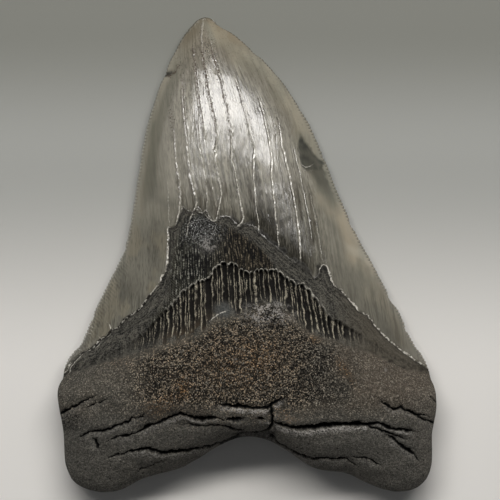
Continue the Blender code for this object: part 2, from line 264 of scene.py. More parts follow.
def smoothstep(low, high, value):
    t = np.clip((value - low) / (high - low), 0, 1)
    return t * t * (3 - 2 * t)


def bell(value, centre, width):
    return np.exp(-((value - centre) / width) ** 2)


def lattice(ix, iy, iz, seed):
    h = (ix * 374761393 + iy * 668265263 + iz * 1442695041 + seed * 974634777) & 0xFFFFFFFF
    h = ((h ^ (h >> 13)) * 1274126177) & 0xFFFFFFFF
    h = ((h ^ (h >> 15)) * 2246822519) & 0xFFFFFFFF
    return (h ^ (h >> 16)) / 4294967295.0


def noise(x, y, z=0.0, seed=0):
    """Smooth gradient noise, about -1 to 1."""
    x, y, z = np.broadcast_arrays(np.asarray(x, float), np.asarray(y, float),
                                  np.asarray(z, float))
    fx, fy, fz = np.floor(x), np.floor(y), np.floor(z)
    ix, iy, iz = fx.astype(np.int64), fy.astype(np.int64), fz.astype(np.int64)
    x, y, z = x - fx, y - fy, z - fz
    wx, wy, wz = (t * t * t * (t * (t * 6 - 15) + 10) for t in (x, y, z))
    flat = not np.any(z) and not np.any(iz)
    out = 0.0
    for dz in ((0,) if flat else (0, 1)):
        for dy in (0, 1):
            for dx in (0, 1):
                turn = lattice(ix + dx, iy + dy, iz + dz, seed) * 2 * np.pi
                rise = lattice(ix + dx, iy + dy, iz + dz, seed + 77) * 2 - 1
                if flat:
                    rise = rise * 0
                side = np.sqrt(1 - rise * rise)
                dot = ((x - dx) * np.cos(turn) * side + (y - dy) * np.sin(turn) * side
                       + (z - dz) * rise)
                w = ((wx if dx else 1 - wx) * (wy if dy else 1 - wy)
                     * (1 if flat else (wz if dz else 1 - wz)))
                out = out + w * dot
    return out * 1.5


def layered(x, y, z=0.0, seed=0, layers=3, gain=0.5):
    out, size = 0.0, 1.0
    for k in range(layers):
        f = 2.0 ** k
        out = out + size * noise(x * f, y * f, z * f if np.ndim(z) or z else 0.0, seed + k)
        size *= gain
    return out


def cells(x, y, seed=0):
    """Distance to the nearest of one random point per unit cell, and that point's own number."""
    ix, iy = np.floor(x).astype(np.int64), np.floor(y).astype(np.int64)
    best = np.full(np.shape(x), 9.0)
    own = np.zeros(np.shape(x))
    for dy in (-1, 0, 1):
        for dx in (-1, 0, 1):
            cx, cy = ix + dx, iy + dy
            px = cx + lattice(cx, cy, 0 * cx, seed)
            py = cy + lattice(cx, cy, 0 * cx + 1, seed)
            d = np.hypot(px - x, py - y)
            own = np.where(d < best, lattice(cx, cy, 0 * cx + 2, seed), own)
            best = np.minimum(best, d)
    return best, own


def to_line(x, y, points, reach=1e9):
    """Distance to a broken line, the side (+ to its right as it runs), and how far along it."""
    pts = np.array(points, float)
    near = np.flatnonzero((x > pts[:, 0].min() - reach) & (x < pts[:, 0].max() + reach)
                          & (y > pts[:, 1].min() - reach) & (y < pts[:, 1].max() + reach))
    px, py = x[near], y[near]
    best = np.full(len(near), 1e9)
    side, run = np.zeros(len(near)), np.zeros(len(near))
    start = 0.0
    for a, b in zip(pts[:-1], pts[1:]):
        dx, dy = b - a
        length = max(math.hypot(dx, dy), 1e-9)
        t = np.clip(((px - a[0]) * dx + (py - a[1]) * dy) / length ** 2, 0, 1)
        ex, ey = px - a[0] - t * dx, py - a[1] - t * dy
        d = np.hypot(ex, ey)
        closer = d < best
        best = np.where(closer, d, best)
        side = np.where(closer, np.sign(dx * ey - dy * ex), side)
        run = np.where(closer, start + t * length, run)
        start += length
    return near, best, side, run, start


def above_line(x, y, points, reach=14.0):
    """Distance above a line that runs left to right, negative below it, capped at reach."""
    out = np.where(y < broken_line(points, x), reach, -reach)
    near = np.flatnonzero(np.abs(out) > 0)
    near, best, _, _, _ = to_line(x, y, points)
    d = np.full(len(x), reach)
    d[near] = np.minimum(best, reach)
    return np.sign(out) * d


# ================================================================ plan and heights
def to_mm(x, y):
    return (x - CX) * SQ, (CY - y) * SQ


def plan(across, along):
    """Squares x, y for across in -1..1 and along in 0..1, as in the solid."""
    y_side = Y_BASE_CORNER + (Y_TIP_CORNER - Y_BASE_CORNER) * along
    left, right = smooth_curve(LEFT_SIDE, y_side), smooth_curve(RIGHT_SIDE, y_side)
    share = (across + 1) / 2
    x = left + (right - left) * share
    x_base = BASE[0][0] + (BASE[-1][0] - BASE[0][0]) * share
    x_tip = TIP[0][0] + (TIP[-1][0] - TIP[0][0]) * share
    near_base = (1 - smoothstep(0.0, 0.42, along)) * (1 - along)
    near_tip = smoothstep(0.93, 1.0, along)
    y = (y_side + (smooth_curve(BASE, x_base) - Y_BASE_CORNER) * near_base
         + (smooth_curve(TIP, x_tip) - Y_TIP_CORNER) * near_tip)
    return x, y


def rim_loop(count=140):
    a, b = np.linspace(-1, 1, count), np.linspace(0, 1, count)
    one = np.ones(count)
    sides = [plan(a, 0 * one), plan(one, b), plan(a[::-1], one), plan(-one, b[::-1])]
    return np.concatenate([np.stack(s, 1)[:-1] for s in sides])


def rolled(share, power=2.3):
    t = np.clip(share, 0, 1)
    return (1 - (1 - t) ** power) ** (1 / power)


def heights(across, x, y, inside):
    """Rim, bulging face and flat face in mm, from x, y and inside in mm, as in the solid."""
    s = np.abs(across)
    rim = smooth_curve(RIM, y)
    ridge = smooth_curve(RIDGE, y)
    below_neck = smooth_curve(NECK, x) - y
    root = smoothstep(-1.8, 7.8, below_neck)
    tip = smoothstep(58.3, 70.3, y)
    tip_round = 1 - tip + tip * np.sqrt(np.clip(inside / 3.6, 0, 1))
    lens = (1 - s ** 2.1) ** 0.86 * tip_round
    swell = (1 - 0.66 * s ** 1.7) * rolled(inside / ROOT_ROLL)
    top = rim + (ridge - rim) * ((1 - root) * lens + root * swell)
    valley = np.exp(-((below_neck + 1.8) / 3.9) ** 2)
    top = top - 1.1 * valley * (1 - s ** 2) * smoothstep(0, 9.0, inside)
    flat = smooth_curve(FLAT_FACE, y)
    for lx, ly in LOBES:
        away = ((x - lx) / LOBE_REACH[0]) ** 2 + ((y - ly) / LOBE_REACH[1]) ** 2
        flat = flat - (flat + 0.5) * np.exp(-away ** 1.5)
    wall = smoothstep(-33.5, -42.5, y)
    under = (1 - wall) * (1 - s ** 2.4) ** 0.75 * tip_round + wall * rolled(inside / UNDER_ROLL)
    bottom = rim - (rim - flat) * under
    top = np.maximum(top, rim + EDGE_THICKNESS / 2)
    bottom = np.minimum(bottom, rim - EDGE_THICKNESS / 2)
    return rim, top, bottom


# ================================================================ grid
def run_of_steps(length, spacing):
    """Positions 0..length whose steps follow spacing(position), a whole even number of steps."""
    s = np.linspace(0, length, 20001)
    count = np.concatenate([[0], np.cumsum(0.5 * (1 / spacing(s[1:]) + 1 / spacing(s[:-1]))
                                           * np.diff(s))])
    n = 2 * int(round(count[-1] / 2))
    return np.interp(np.linspace(0, count[-1], n + 1), count, s)


def column_steps():
    half = 56.7
    near_rim = lambda s: np.minimum(s, 2 * half - s)
    step = lambda s: 0.018 + 0.235 * np.sqrt(np.clip(near_rim(s) / 5.0, 0, 1))
    return run_of_steps(2 * half, step) / half - 1


def row_steps():
    length = (Y_BASE_CORNER - Y_TIP_CORNER) * SQ

    def step(s):
        root = 0.018 + 0.19 * np.sqrt(np.clip(s / 5.0, 0, 1))
        blade = 0.13 * smoothstep(0, 1.5, length - s) + 0.02
        w = smoothstep(30.0, 36.0, s)
        return root * (1 - w) + blade * w

    return run_of_steps(length, step) / length


def inside_mm(across, along):
    """Distance in from the outline, in mm, worked out on fewer points and spread over the grid."""
    ai = np.unique(np.concatenate([np.arange(0, len(across), 6), np.arange(0, 30, 2),
                                   len(across) - 1 - np.arange(0, 30, 2)]))
    bi = np.unique(np.concatenate([np.arange(0, len(along), 6), np.arange(0, 40, 2),
                                   len(along) - 1 - np.arange(0, 20)]))
    x, y = plan(across[ai][None, :] + 0 * along[bi][:, None],
                along[bi][:, None] + 0 * across[ai][None, :])
    loop = rim_loop()
    px, py = x.ravel(), y.ravel()
    best = np.full(len(px), 1e9)
    for a, b in zip(loop, np.roll(loop, -1, 0)):
        dx, dy = b - a
        t = np.clip(((px - a[0]) * dx + (py - a[1]) * dy) / max(dx * dx + dy * dy, 1e-12), 0, 1)
        best = np.minimum(best, np.hypot(px - a[0] - t * dx, py - a[1] - t * dy))
    few = best.reshape(x.shape) * SQ
    few[0], few[-1], few[:, 0], few[:, -1] = 0, 0, 0, 0
    wide = np.stack([np.interp(across, across[ai], row) for row in few])
    return np.stack([np.interp(along, along[bi], wide[:, k])
                     for k in range(wide.shape[1])], axis=1)


def normals(x, y, z):
    """Unit normals of a grid of points, pointing to +Z over the middle."""
    pu = [np.gradient(c, axis=1) for c in (x, y, z)]
    pv = [np.gradient(c, axis=0) for c in (x, y, z)]
    n = np.stack([pu[1] * pv[2] - pu[2] * pv[1], pu[2] * pv[0] - pu[0] * pv[2],
                  pu[0] * pv[1] - pu[1] * pv[0]])
    return n / np.maximum(np.linalg.norm(n, axis=0), 1e-12)


# ================================================================ the bulging face
def grain_across(x, y):
    """Squares from the grain line, so that cracks and streaks keep their number to the tip."""
    return (x - broken_line(GRAIN_LINE, y)) / broken_line(GRAIN_SPREAD, y)


def comb_phase(q):
    """Ridges of the neck's comb are numbered by this, one per whole number."""
    keys = np.array([-190, -100, -66, -45, -8, 6, 32, 60, 90, 190.0])
    pitch = np.array([3.0, 3.2, 3.8, 5.0, 5.2, 4.3, 4.6, 5.2, 4.0, 3.0])
    fine = np.linspace(-190, 190, 1500)
    rate = 1 / np.interp(fine, keys, pitch)
    total = np.concatenate([[0], np.cumsum(0.5 * (rate[1:] + rate[:-1]) * np.diff(fine))])
    return np.interp(q, fine, total)


def face_up(x, y, inside):
    """Everything carved or coloured on the bulging face, at flat arrays of squares x, y."""
    wx = x + 0.8 * noise(x / 4, y / 4, seed=1) + 0.35 * noise(x / 1.6, y / 1.6, seed=2)
    wy = y + 0.8 * noise(x / 4, y / 4, seed=3) + 0.35 * noise(x / 1.6, y / 1.6, seed=4)
    q = grain_across(x, y)
    e = above_line(wx, wy, ENAMEL_END)
    c = above_line(x, y, COMB_LIP)
    r = above_line(wx, wy, ROOT_TOP)
    far = above_line(wx, wy, ENAMEL_END, reach=80.0)
    enamel = smoothstep(-0.35, 0.45, e)
    root = smoothstep(2.5, -4.5, r + 2.2 * noise(x / 3.2, y / 3.2, seed=14))
    neck = (1 - enamel) * (1 - root)

    lift = np.zeros_like(x)
    dark = np.zeros_like(x)
    pale = np.zeros_like(x)

    # the enamel lies on the dentine as a raised skin with a broken lip
    thins = smoothstep(220, 234, x) * smoothstep(327, 321, x)     # it fades out without a lip here
    ramp = 12.0 * smoothstep(174, 186, x) * smoothstep(327, 321, x)
    lift += 0.34 * smoothstep(-0.5, 0.9 + ramp, e)
    lift += 0.10 * bell(e, 1.4, 1.3) * enamel * (1 - ramp / 12.0)
    # painted shade: a dark line just under the enamel's lip, and a dark band over the enamel where it thins out
    dark += 0.7 * bell(e, -1.1, 0.8)
    dark += 0.9 * thins * bell(e + 1.6 * noise(x / 5, y / 9, seed=56), 1.6, 2.3) * smoothstep(
        -0.5, 0.3, noise(x / 7, y / 7, seed=57))

    # the comb: deep grooves under a lip, running out on the root
    wave = (1.5 * noise(q / 7, y / 60, seed=6) + 0.7 * noise(x / 7, y / 10, seed=7)
            + 0.45 * noise(x / 3, y / 4, seed=8) + 0.8 * noise(q / 3.6, y / 70, seed=9))
    phase = comb_phase(q + wave)
    cell = np.floor(phase).astype(np.int64)
    ridge = np.abs((phase % 1.0) * 2 - 1)          # 1 on a ridge, 0 in a groove's middle
    first, second = lattice(cell, 0 * cell, 0 * cell, 15), lattice(cell, 0 * cell, 0 * cell, 16)
    crest = smoothstep(0.62, 0.94, ridge)
    arch = 2.8 * np.sqrt(np.clip(1 - ridge ** 2, 0, 1)) - 1.4 + 1.6 * (first - 0.5)
    under = smoothstep(-0.6, 0.6, arch - c)
    low = r + 7.0 * (second - 0.5) - 1.0
    t = np.clip(-c / np.maximum(-c + np.maximum(low, 0), 1e-3), 0, 1)
    room = smoothstep(0.6, 5.0, np.maximum(-c, 0) + np.maximum(r, 0))
    wing = 0.10 + 0.90 * smoothstep(-112, -66, q) * smoothstep(100, 74, q)
    smooth_patch = np.exp(-(((x - 223) / 10) ** 2 + ((y - 309) / 8) ** 2) ** 2)
    comb = under * smoothstep(-1.5, 2.5, low) * room * (1 - 0.9 * smooth_patch) * (1 - enamel)
    ramp = 0.20 + 0.80 * (1 - smoothstep(0.35, 1.0, t))
    comb = comb * (1 - (1 - smoothstep(-90, -62, q) * smoothstep(92, 70, q)) * smoothstep(0.15, 0.9, t))
    lift -= comb * wing * (0.25 + (1.15 + 0.5 * first) * ramp) * (1 - 0.85 * crest)
    lift += 0.12 * bell(c - arch, 1.2, 1.1) * (1 - enamel) * room * wing
    # painted shade: the comb's grooves are darkened, most near the lip where they are deepest
    dark += comb * np.sqrt(wing) * (1 - crest) * (0.10 + 1.0 * ramp)
    lift -= 0.35 * bell(c, -5.0, 5.0) * (1 - enamel) * room * (1 - root)

    # the crackled middle over the lip, bordered by a plainer band under the enamel
    inner = smoothstep(-2.0, 3.0, -above_line(wx, wy, MIDDLE_ZONE)) * (1 - enamel) * (1 - under)
    inner = inner * smoothstep(146, 160, x) * smoothstep(308, 292, x)
    stria = noise(q / 1.25, y / 12, seed=10) + 0.6 * noise(q / 0.8, y / 6, seed=11)
    crackle = np.exp(-(((x - 203) / 17) ** 2 + ((y - 233) / 17) ** 2) ** 1.5)
    bare = neck * (1 - under)
    lift += inner * 0.085 * stria
    lift += inner * crackle * 0.10 * layered(x / 2.4, y / 3.4, seed=18, layers=2)
    lift += bare * 0.06 * layered(x / 9, y / 9, seed=12)
    lift += bare * (1 - inner) * 0.020 * noise(q / 2, y / 12, seed=13)
    thick = np.maximum(-e, 0) + np.maximum(c, 0)
    over = np.clip(np.maximum(-e, 0) / np.maximum(thick, 0.5), 0, 1)
    sides = smoothstep(175, 140, x) + smoothstep(318, 350, x)
    lift += bare * 4 * over * (1 - over) * np.clip(thick, 0, 14) * (0.012 + 0.038 * sides) * (1 - 0.6 * inner)
    wings = smoothstep(118, 95, x) + smoothstep(345, 372, x)
    lift -= 0.45 * wings * bell(r - 1.0, 0, 2.6)
    # painted shade in this valley under the band at the neck's two wings
    dark += 0.80 * wings * bell(r - 0.5 + 1.2 * noise(x / 3, y / 3, seed=19), 0, 1.5) * smoothstep(-0.6, 0.5, noise(x / 4, y / 4, seed=17))

    # enamel: long grain, faint hair cracks and pits between the main ones
    middle = smoothstep(-70, -52, q) * smoothstep(88, 62, q)
    hair = 1 - np.abs(noise(q / 3.1, y / 90, seed=20)) / 0.10
    hair2 = 1 - np.abs(noise(q / 1.9, y / 55, seed=21)) / 0.10
    strength = enamel * (0.12 + 0.88 * middle)
    hairs = np.maximum(np.clip(hair, 0, 1) * smoothstep(-0.2, 0.5, noise(q / 8, y / 35, seed=22)),
                       np.clip(hair2, 0, 1) * smoothstep(0.0, 0.6, noise(q / 6, y / 25, seed=23)))
    lift -= strength * 0.030 * hairs
    dark += 0.22 * strength * hairs
    lift += enamel * 0.035 * layered(x / 14, y / 22, seed=24)
    lift += strength * 0.014 * noise(q / 1.5, y / 26, seed=25)
    pit_d, pit_n = cells(x / 4.4, y / 5.2, seed=26)
    pits = (pit_n > 0.80) * smoothstep(0.14, 0.05, pit_d) * strength * smoothstep(0.1, 0.5, middle)
    lift -= 0.012 * pits
    dark += 0.40 * pits

    # the main cracks of the enamel: nearest one, its side and its make
    crack_d, crack_s = np.full_like(x, 30.0), np.ones_like(x)
    crack_run, crack_lit, crack_black = np.zeros_like(x), np.zeros_like(x), np.zeros_like(x)
    for k, (width, depth, lit, black, points) in enumerate(ENAMEL_CRACKS):
        jx = x + 0.55 * noise(x / 2.2, y / 5.0, seed=30 + k) + 0.5 * noise(x / 9, y / 14, seed=31 + k)
        near, d, side, run, length = to_line(jx, y, points, reach=7)
        fade = smoothstep(0, 6, run) * smoothstep(0, 4, length - run + 1)
        gap = width * (1 + 0.45 * noise(run / 5, 0 * run, seed=60 + k))
        knot = smoothstep(0.25, 0.75, noise(run / 2.6, 0 * run + 3.3, seed=90 + k))
        groove = np.exp(-(d / gap) ** 2) * fade * (0.35 + 0.65 * smoothstep(115, 165, y[near]))
        hold = np.maximum(enamel[near], 0.8)
        lift[near] -= depth * groove * (1 + 0.6 * knot) * hold
        lift[near] += 0.35 * depth * np.exp(-((d - 1.5 * gap) / (0.9 * gap)) ** 2) * fade * enamel[near]
        # beside each crack: partly its own dark pits and partly painted shade along one wall
        dark[near] += 0.8 * black * knot * np.exp(-((d * side - 0.5) / 1.1) ** 2) * fade
        closer = d < crack_d[near]
        at = near[closer]
        crack_d[at], crack_s[at], crack_run[at] = d[closer], side[closer], run[closer] + 40 * k
        reach = smoothstep(4.5, 2.0, d[closer]) * fade[closer] * hold[closer]
        # lit: how strong the painted highlight on the crack's lip is
        crack_lit[at], crack_black[at] = lit * reach, black * reach

    # the small flaw on the left edge, and stray pale specks on the root
    d = np.hypot((x - 168.0) / 5.4, (y - 74.2 + 0.20 * (x - 168)) / 2.9)
    lift -= 0.25 * np.exp(-d ** 2)
    dark += 0.90 * np.exp(-(d / 0.95) ** 4)
    for sx, sy, size in [(384.5, 369, 1.0), (193, 419, 1.2), (260, 419.5, 0.9), (236, 358, 0.8),
                         (176, 397, 0.8), (152, 409, 0.8), (330, 447, 0.7), (142, 436, 0.6)]:
        pale += 1.3 * np.exp(-((x - sx) ** 2 + (y - sy) ** 2) / size ** 2)

    # the root: lumps, coarse grain, cracks with rough lower lips
    lumps = layered(x / 26, y / 16, seed=40, layers=2) * 0.42 + layered(x / 9, y / 8, seed=41, layers=2) * 0.06
    lift += root * lumps * smoothstep(0, 12, -r)
    rough = smoothstep(170, 215, x) * smoothstep(330, 285, x) * smoothstep(425, 395, y)
    lift += root * (0.016 + 0.035 * rough) * layered(x / 2.6, y / 2.6, seed=42, layers=2)
    low_root = smoothstep(408, 425, y)
    pit_d, pit_n = cells(x / 6.5, y / 6.5, seed=43)
    pits = (pit_n > 0.72) * smoothstep(0.16, 0.07, pit_d) * root
    lift -= 0.12 * pits
    dark += 0.9 * pits * (0.3 + 0.7 * low_root)
    jx = x + 1.0 * noise(x / 5.5, y / 5.5, seed=44) + 0.6 * noise(x / 2.0, y / 2.0, seed=45)
    jy = y + 1.2 * noise(x / 5.5, y / 5.5, seed=46) + 0.8 * noise(x / 2.0, y / 2.0, seed=47)
    crumbs = layered(x / 2.2, y / 1.8, seed=48, layers=2)
    cleft, rim_lit = np.full_like(x, 20.0), np.zeros_like(x)
    for k, (lit, points) in enumerate(ROOT_CRACKS):
        near, d, side, run, length = to_line(jx, jy, [p[:2] for p in points], reach=26)
        steps = [math.dist(p[:2], q_[:2]) for p, q_ in zip(points[:-1], points[1:])]
        half = np.interp(run, np.concatenate([[0], np.cumsum(steps)]), [p[2] for p in points])
        half = half * (1 + 0.25 * noise(run / 3.0, 0 * run, seed=150 + k))
        depth = np.clip(0.25 + 0.85 * half, 0, 2.1)
        out_d = d - half
        below = smoothstep(-0.3, 0.5, side * d)
        lift[near] -= depth * smoothstep(0.45, -0.75, out_d)
        # the surface rolls down into the crack, farther on its lower side
        lift[near] -= 0.20 * depth * np.exp(-(np.maximum(out_d, 0) / (2.2 + 5.0 * below)) ** 2)
        band = np.exp(-((out_d - 2.6) / 2.3) ** 2) * below * smoothstep(0.2, 1.0, half)
        lift[near] += band * (0.10 + 0.16 * lit) * (1 + 0.9 * crumbs[near]) * smoothstep(0.3, 1.6, half)
        closer = out_d < cleft[near]
        at = near[closer]
        cleft[at] = out_d[closer]
        # painted highlight along the crack's lower lip: how bright it is, for the material
        rim_lit[at] = ((0.15 + 0.85 * lit) * below * smoothstep(0.3, 1.3, half)
                       * smoothstep(8.0, 4.0, out_d))[closer]
    # the boss under the middle of the root, with its foramen; painted shade blackens the foramen and the boss's
    # underside
    block = smoothstep(223, 235, x) * smoothstep(272, 270, x) * smoothstep(404, 408, y) * smoothstep(431, 427, y)
    lift += root * (0.50 + 0.22 * layered(x / 6, y / 6, seed=49, layers=2)) * block
    hole = np.hypot((jx - 260.5) / 3.0, (y - 416) / 1.7)
    lift -= 1.5 * np.exp(-hole ** 4)
    dark += 1.4 * np.exp(-(hole / 1.05) ** 4)
    under_boss = smoothstep(228, 240, x) * smoothstep(278, 270, x) * smoothstep(430, 432.5, y)
    lift -= 0.8 * under_boss * (0.6 + 0.6 * crumbs)
    dark += 0.75 * under_boss

    out = {
        "lift": lift,
        "enamel": enamel,
        "neck": neck,
        "root": root,
        "pale": np.clip(pale, 0, 1),
        "dark": np.clip(dark, 0, 1),
        "q": q, "e": e, "c": c - arch, "r": r, "phase": phase,
        "comb": comb * wing,
        "crack": crack_d * crack_s, "run": crack_run,
        "lit": crack_lit, "black": crack_black, "cleft": cleft, "rim": rim_lit * root,
    }
    # smooth translucent margins of the blade
    from_edge = inside / SQ
    band = np.where(q < 0, 14.0, 24.0) * (0.75 + 0.35 * noise(x / 25, y / 30, seed=50))
    out["margin"] = enamel * smoothstep(band + 8, band - 6, from_edge)
    sx = x + 1.3 * noise(x / 5, y / 5, seed=51) + 0.7 * noise(x / 2, y / 2, seed=52)
    left = broken_line([(134, 299), (140, 297.5), (146, 296.5), (152, 297), (158, 298), (164, 299),
                        (168, 302), (172, 306), (176, 310)], y)
    right = broken_line([(134, 300), (140, 303.5), (146, 307.5), (152, 312), (158, 317.5),
                         (163, 324), (167, 323), (172, 324), (176, 325)], y)
    upper = (smoothstep(left - 0.8, left + 1.8, sx) * smoothstep(right + 1.0, right - 1.4, sx)
             * smoothstep(133, 138, y) * smoothstep(176, 168, y))
    left = broken_line([(160, 300), (168, 304), (180, 311), (192, 318), (205, 325), (220, 332)], y)
    right = broken_line([(160, 320), (175, 325.5), (185, 329.5), (195, 333), (205, 337), (220, 343)], y)
    lower = (smoothstep(left - 3, left + 7, sx) * smoothstep(right + 1.2, right - 2.0, sx)
             * smoothstep(160, 168, y) * smoothstep(222, 178, y))
    stain = np.maximum(upper * (0.80 + 0.2 * noise(x / 6, y / 6, seed=53)), 0.66 * lower)
    out["stain"] = stain * enamel
    # painted shade over the enamel near its end, reaching up in fingers and strongest on the right; with it a darker
    # grey cloud on the low left of the blade
    finger = 1 + 0.75 * noise(q / 3.6, y / 70, seed=54) + 0.45 * noise(q / 1.4, y / 35, seed=55)
    right = smoothstep(238, 256, x)
    reach = np.maximum((13.0 + 25.0 * right) * finger, 4.0)
    shade = np.exp(-(np.maximum(far, 0) / reach) ** (1.15 + 0.65 * right)) * (0.62 + 0.38 * right) * (
        0.30 + 0.70 * smoothstep(172, 196, x) * smoothstep(326, 296, x))
    cloudy = np.exp(-(((x - 157) / 9.0) ** 2 + ((y - 246) / 30.0) ** 2) ** 1.3)
    cloudy = np.maximum(cloudy, 0.8 * np.exp(-(((x - 133) / 10.0) ** 2 + ((y - 292) / 16.0) ** 2)))
    out["shade"] = enamel * np.maximum(shade, 0.36 * cloudy * np.clip(0.7 + 0.5 * finger, 0, 1.6))
    out["middle"] = middle * enamel
    speck = smoothstep(108, 182, x) * smoothstep(372, 286, x + 14 * noise(x / 30, y / 22, seed=57)) * smoothstep(412, 392, y) * smoothstep(-2, -14, r)
    out["grain"] = root * np.clip(0.25 + 0.95 * speck, 0, 1)
    rust = np.zeros_like(x)
    streak = np.hypot((x - 345) * 0.82 - (y - 371) * 0.57, ((x - 345) * 0.57 + (y - 371) * 0.82) / 5.0)
    rust += 0.95 * np.exp(-(streak / 3.0) ** 2)
    for cx, cy, sx, sy, amount in [(184, 386, 6, 10, 1.0), (158, 408, 10, 8, 0.8), (170, 398, 9, 8, 0.5),
                                   (120, 360, 14, 8, 0.35), (314, 338, 5, 4, 0.9), (342, 367, 7, 9, 0.2),
                                   (282, 412, 6, 5, 0.9), (292, 418, 5, 3, 0.8), (235, 365, 40, 26, 0.35),
                                   (262, 352, 20, 16, 0.3)]:
        rust += amount * np.exp(-((x - cx) / sx) ** 2 - ((y - cy) / sy) ** 2)
    tan = comb * smoothstep(0.35, 0.9, t) * smoothstep(150, 165, x) * smoothstep(225, 195, x)
    out["rust"] = np.clip(rust, 0, 1) * root + tan * (1 - root)
    out["centre"] = inner
    # where the neck sparkles: glossier there, with painted glints on its crumbs
    spark = np.exp(-(((x - 268) / 22) ** 2 + ((y - 313) / 11) ** 2) ** 1.5)
    spark = np.maximum(spark, 0.8 * inner * np.exp(-(((x - 209) / 8) ** 2 + ((y - 243) / 7) ** 2)))
    out["spark"] = spark * (1 - enamel)
    out["knit"] = inner * np.exp(-(((x - 203) / 20) ** 2 + ((y - 229) / 17) ** 2) ** 1.5)
    # how strong the pale line along the enamel's end is, left to right
    worn = np.where(x < 110, 0.5, np.where(x < 161, 0.55, np.where(x < 171, 1.0, np.where(
        x < 181, 0.0, np.where(x < 217, 0.45, np.where(x < 318, 0.0, np.where(x < 330, 1.0, 0.8)))))))
    out["worn"] = worn
    out["beads"] = enamel * smoothstep(-35.0, -31.0, (CY - y) * SQ) * smoothstep(70.5, 67.0, (CY - y) * SQ)
    out["patch"] = smooth_patch
    return out


# ================================================================ the flat face
def face_down(x, y, inside):
    """The flat face: enamel down to a low arch, then a plain root."""
    wx = x + 0.9 * noise(x / 5, y / 5, seed=201)
    wy = y + 0.9 * noise(x / 5, y / 5, seed=203)
    q = grain_across(x, y)
    line = [(50, 384), (64, 379), (90, 381), (130, 374), (190, 364), (248, 360), (310, 364),
            (370, 372), (412, 378), (430, 373), (445, 380)]
    e = above_line(wx, wy, line)
    enamel = smoothstep(-0.6, 0.6, e)
    root = 1 - enamel
    lift = 0.20 * smoothstep(-0.8, 1.0, e) - 0.20
    # painted highlight along the enamel's edge and painted shade just under it
    pale = 0.5 * bell(e, 0.2, 0.8)
    dark = 0.7 * bell(e, -1.4, 1.2)
    lift += enamel * 0.03 * layered(x / 18, y / 30, seed=204)
    hair = np.clip(1 - np.abs(noise(q / 4.2, y / 120, seed=205)) / 0.09, 0, 1)
    hair *= smoothstep(0.0, 0.5, noise(q / 9, y / 45, seed=206))
    lift -= 0.05 * enamel * hair
    dark += 0.5 * enamel * hair
    for k, (shift, low, high) in enumerate([(-52, 150, 352), (-20, 60, 300), (9, 120, 358),
                                            (34, 40, 250), (61, 170, 350)]):
        qc = q - shift - 2.5 * noise(y / 40, 0 * y + k, seed=210 + k)
        fade = smoothstep(low, low + 25, y) * smoothstep(high, high - 20, y)
        lift -= 0.16 * np.exp(-(qc / 0.7) ** 2) * fade * enamel
        # painted shade along one side of each groove and a painted highlight along the other
        dark += 0.9 * np.exp(-((qc - 0.5) / 0.8) ** 2) * fade * enamel
        pale += 0.6 * np.exp(-((qc + 0.5) / 0.6) ** 2) * fade * enamel
    lumps = layered(x / 24, y / 15, seed=220) * 0.25 + layered(x / 7, y / 6, seed=221) * 0.08
    lift += root * lumps * smoothstep(0, 10, -e)
    pit_d, pit_n = cells(x / 6.0, y / 6.0, seed=222)
    pits = (pit_n > 0.6) * smoothstep(0.18, 0.08, pit_d) * root
    lift -= 0.14 * pits
    dark += 0.6 * pits
    jx = x + 1.4 * noise(x / 6, y / 6, seed=223)
    jy = y + 1.4 * noise(x / 6, y / 6, seed=224)
    for k, (width, depth, points) in enumerate([
            (1.1, 0.7, [(84, 452), (110, 446), (140, 448), (168, 440)]),
            (1.0, 0.6, [(100, 412), (130, 404), (160, 405), (182, 398)]),
            (1.2, 0.8, [(300, 432), (330, 428), (365, 434), (400, 428)]),
            (0.9, 0.5, [(330, 402), (360, 398), (395, 404)])]):
        near, d, side, run, length = to_line(jx, jy, points, reach=14)
        fade = smoothstep(0, 9, run) * smoothstep(0, 9, length - run)
        lift[near] -= depth * np.exp(-np.abs(d / width) ** 2.4) * fade
        # painted shade in the root's grooves
        dark[near] += np.exp(-np.abs(d / width) ** 3) * fade
    from_edge = inside / SQ
    zero = np.zeros_like(x)
    return {
        "lift": lift, "enamel": enamel, "neck": zero, "root": root,
        "pale": np.clip(pale, 0, 1), "dark": np.clip(dark, 0, 1), "q": q,
        "margin": enamel * smoothstep(26, 8, from_edge), "stain": zero, "shade": zero,
        "middle": enamel * smoothstep(10, 30, from_edge), "grain": root * 0.4,
        "rust": root * 0.8 * smoothstep(0.35, 0.8, layered(x / 22, y / 18, seed=230)),
        "centre": zero, "e": e, "c": zero + 20, "r": zero + 20, "phase": zero, "comb": zero,
        "crack": zero + 20, "run": zero, "lit": zero, "black": zero, "spark": zero,
        "cleft": zero + 20, "rim": zero, "knit": zero,
        "worn": zero + 0.4, "patch": zero,
        "beads": enamel * smoothstep(-35.0, -31.0, (CY - y) * SQ) * smoothstep(70.5, 67.0, (CY - y) * SQ),
    }


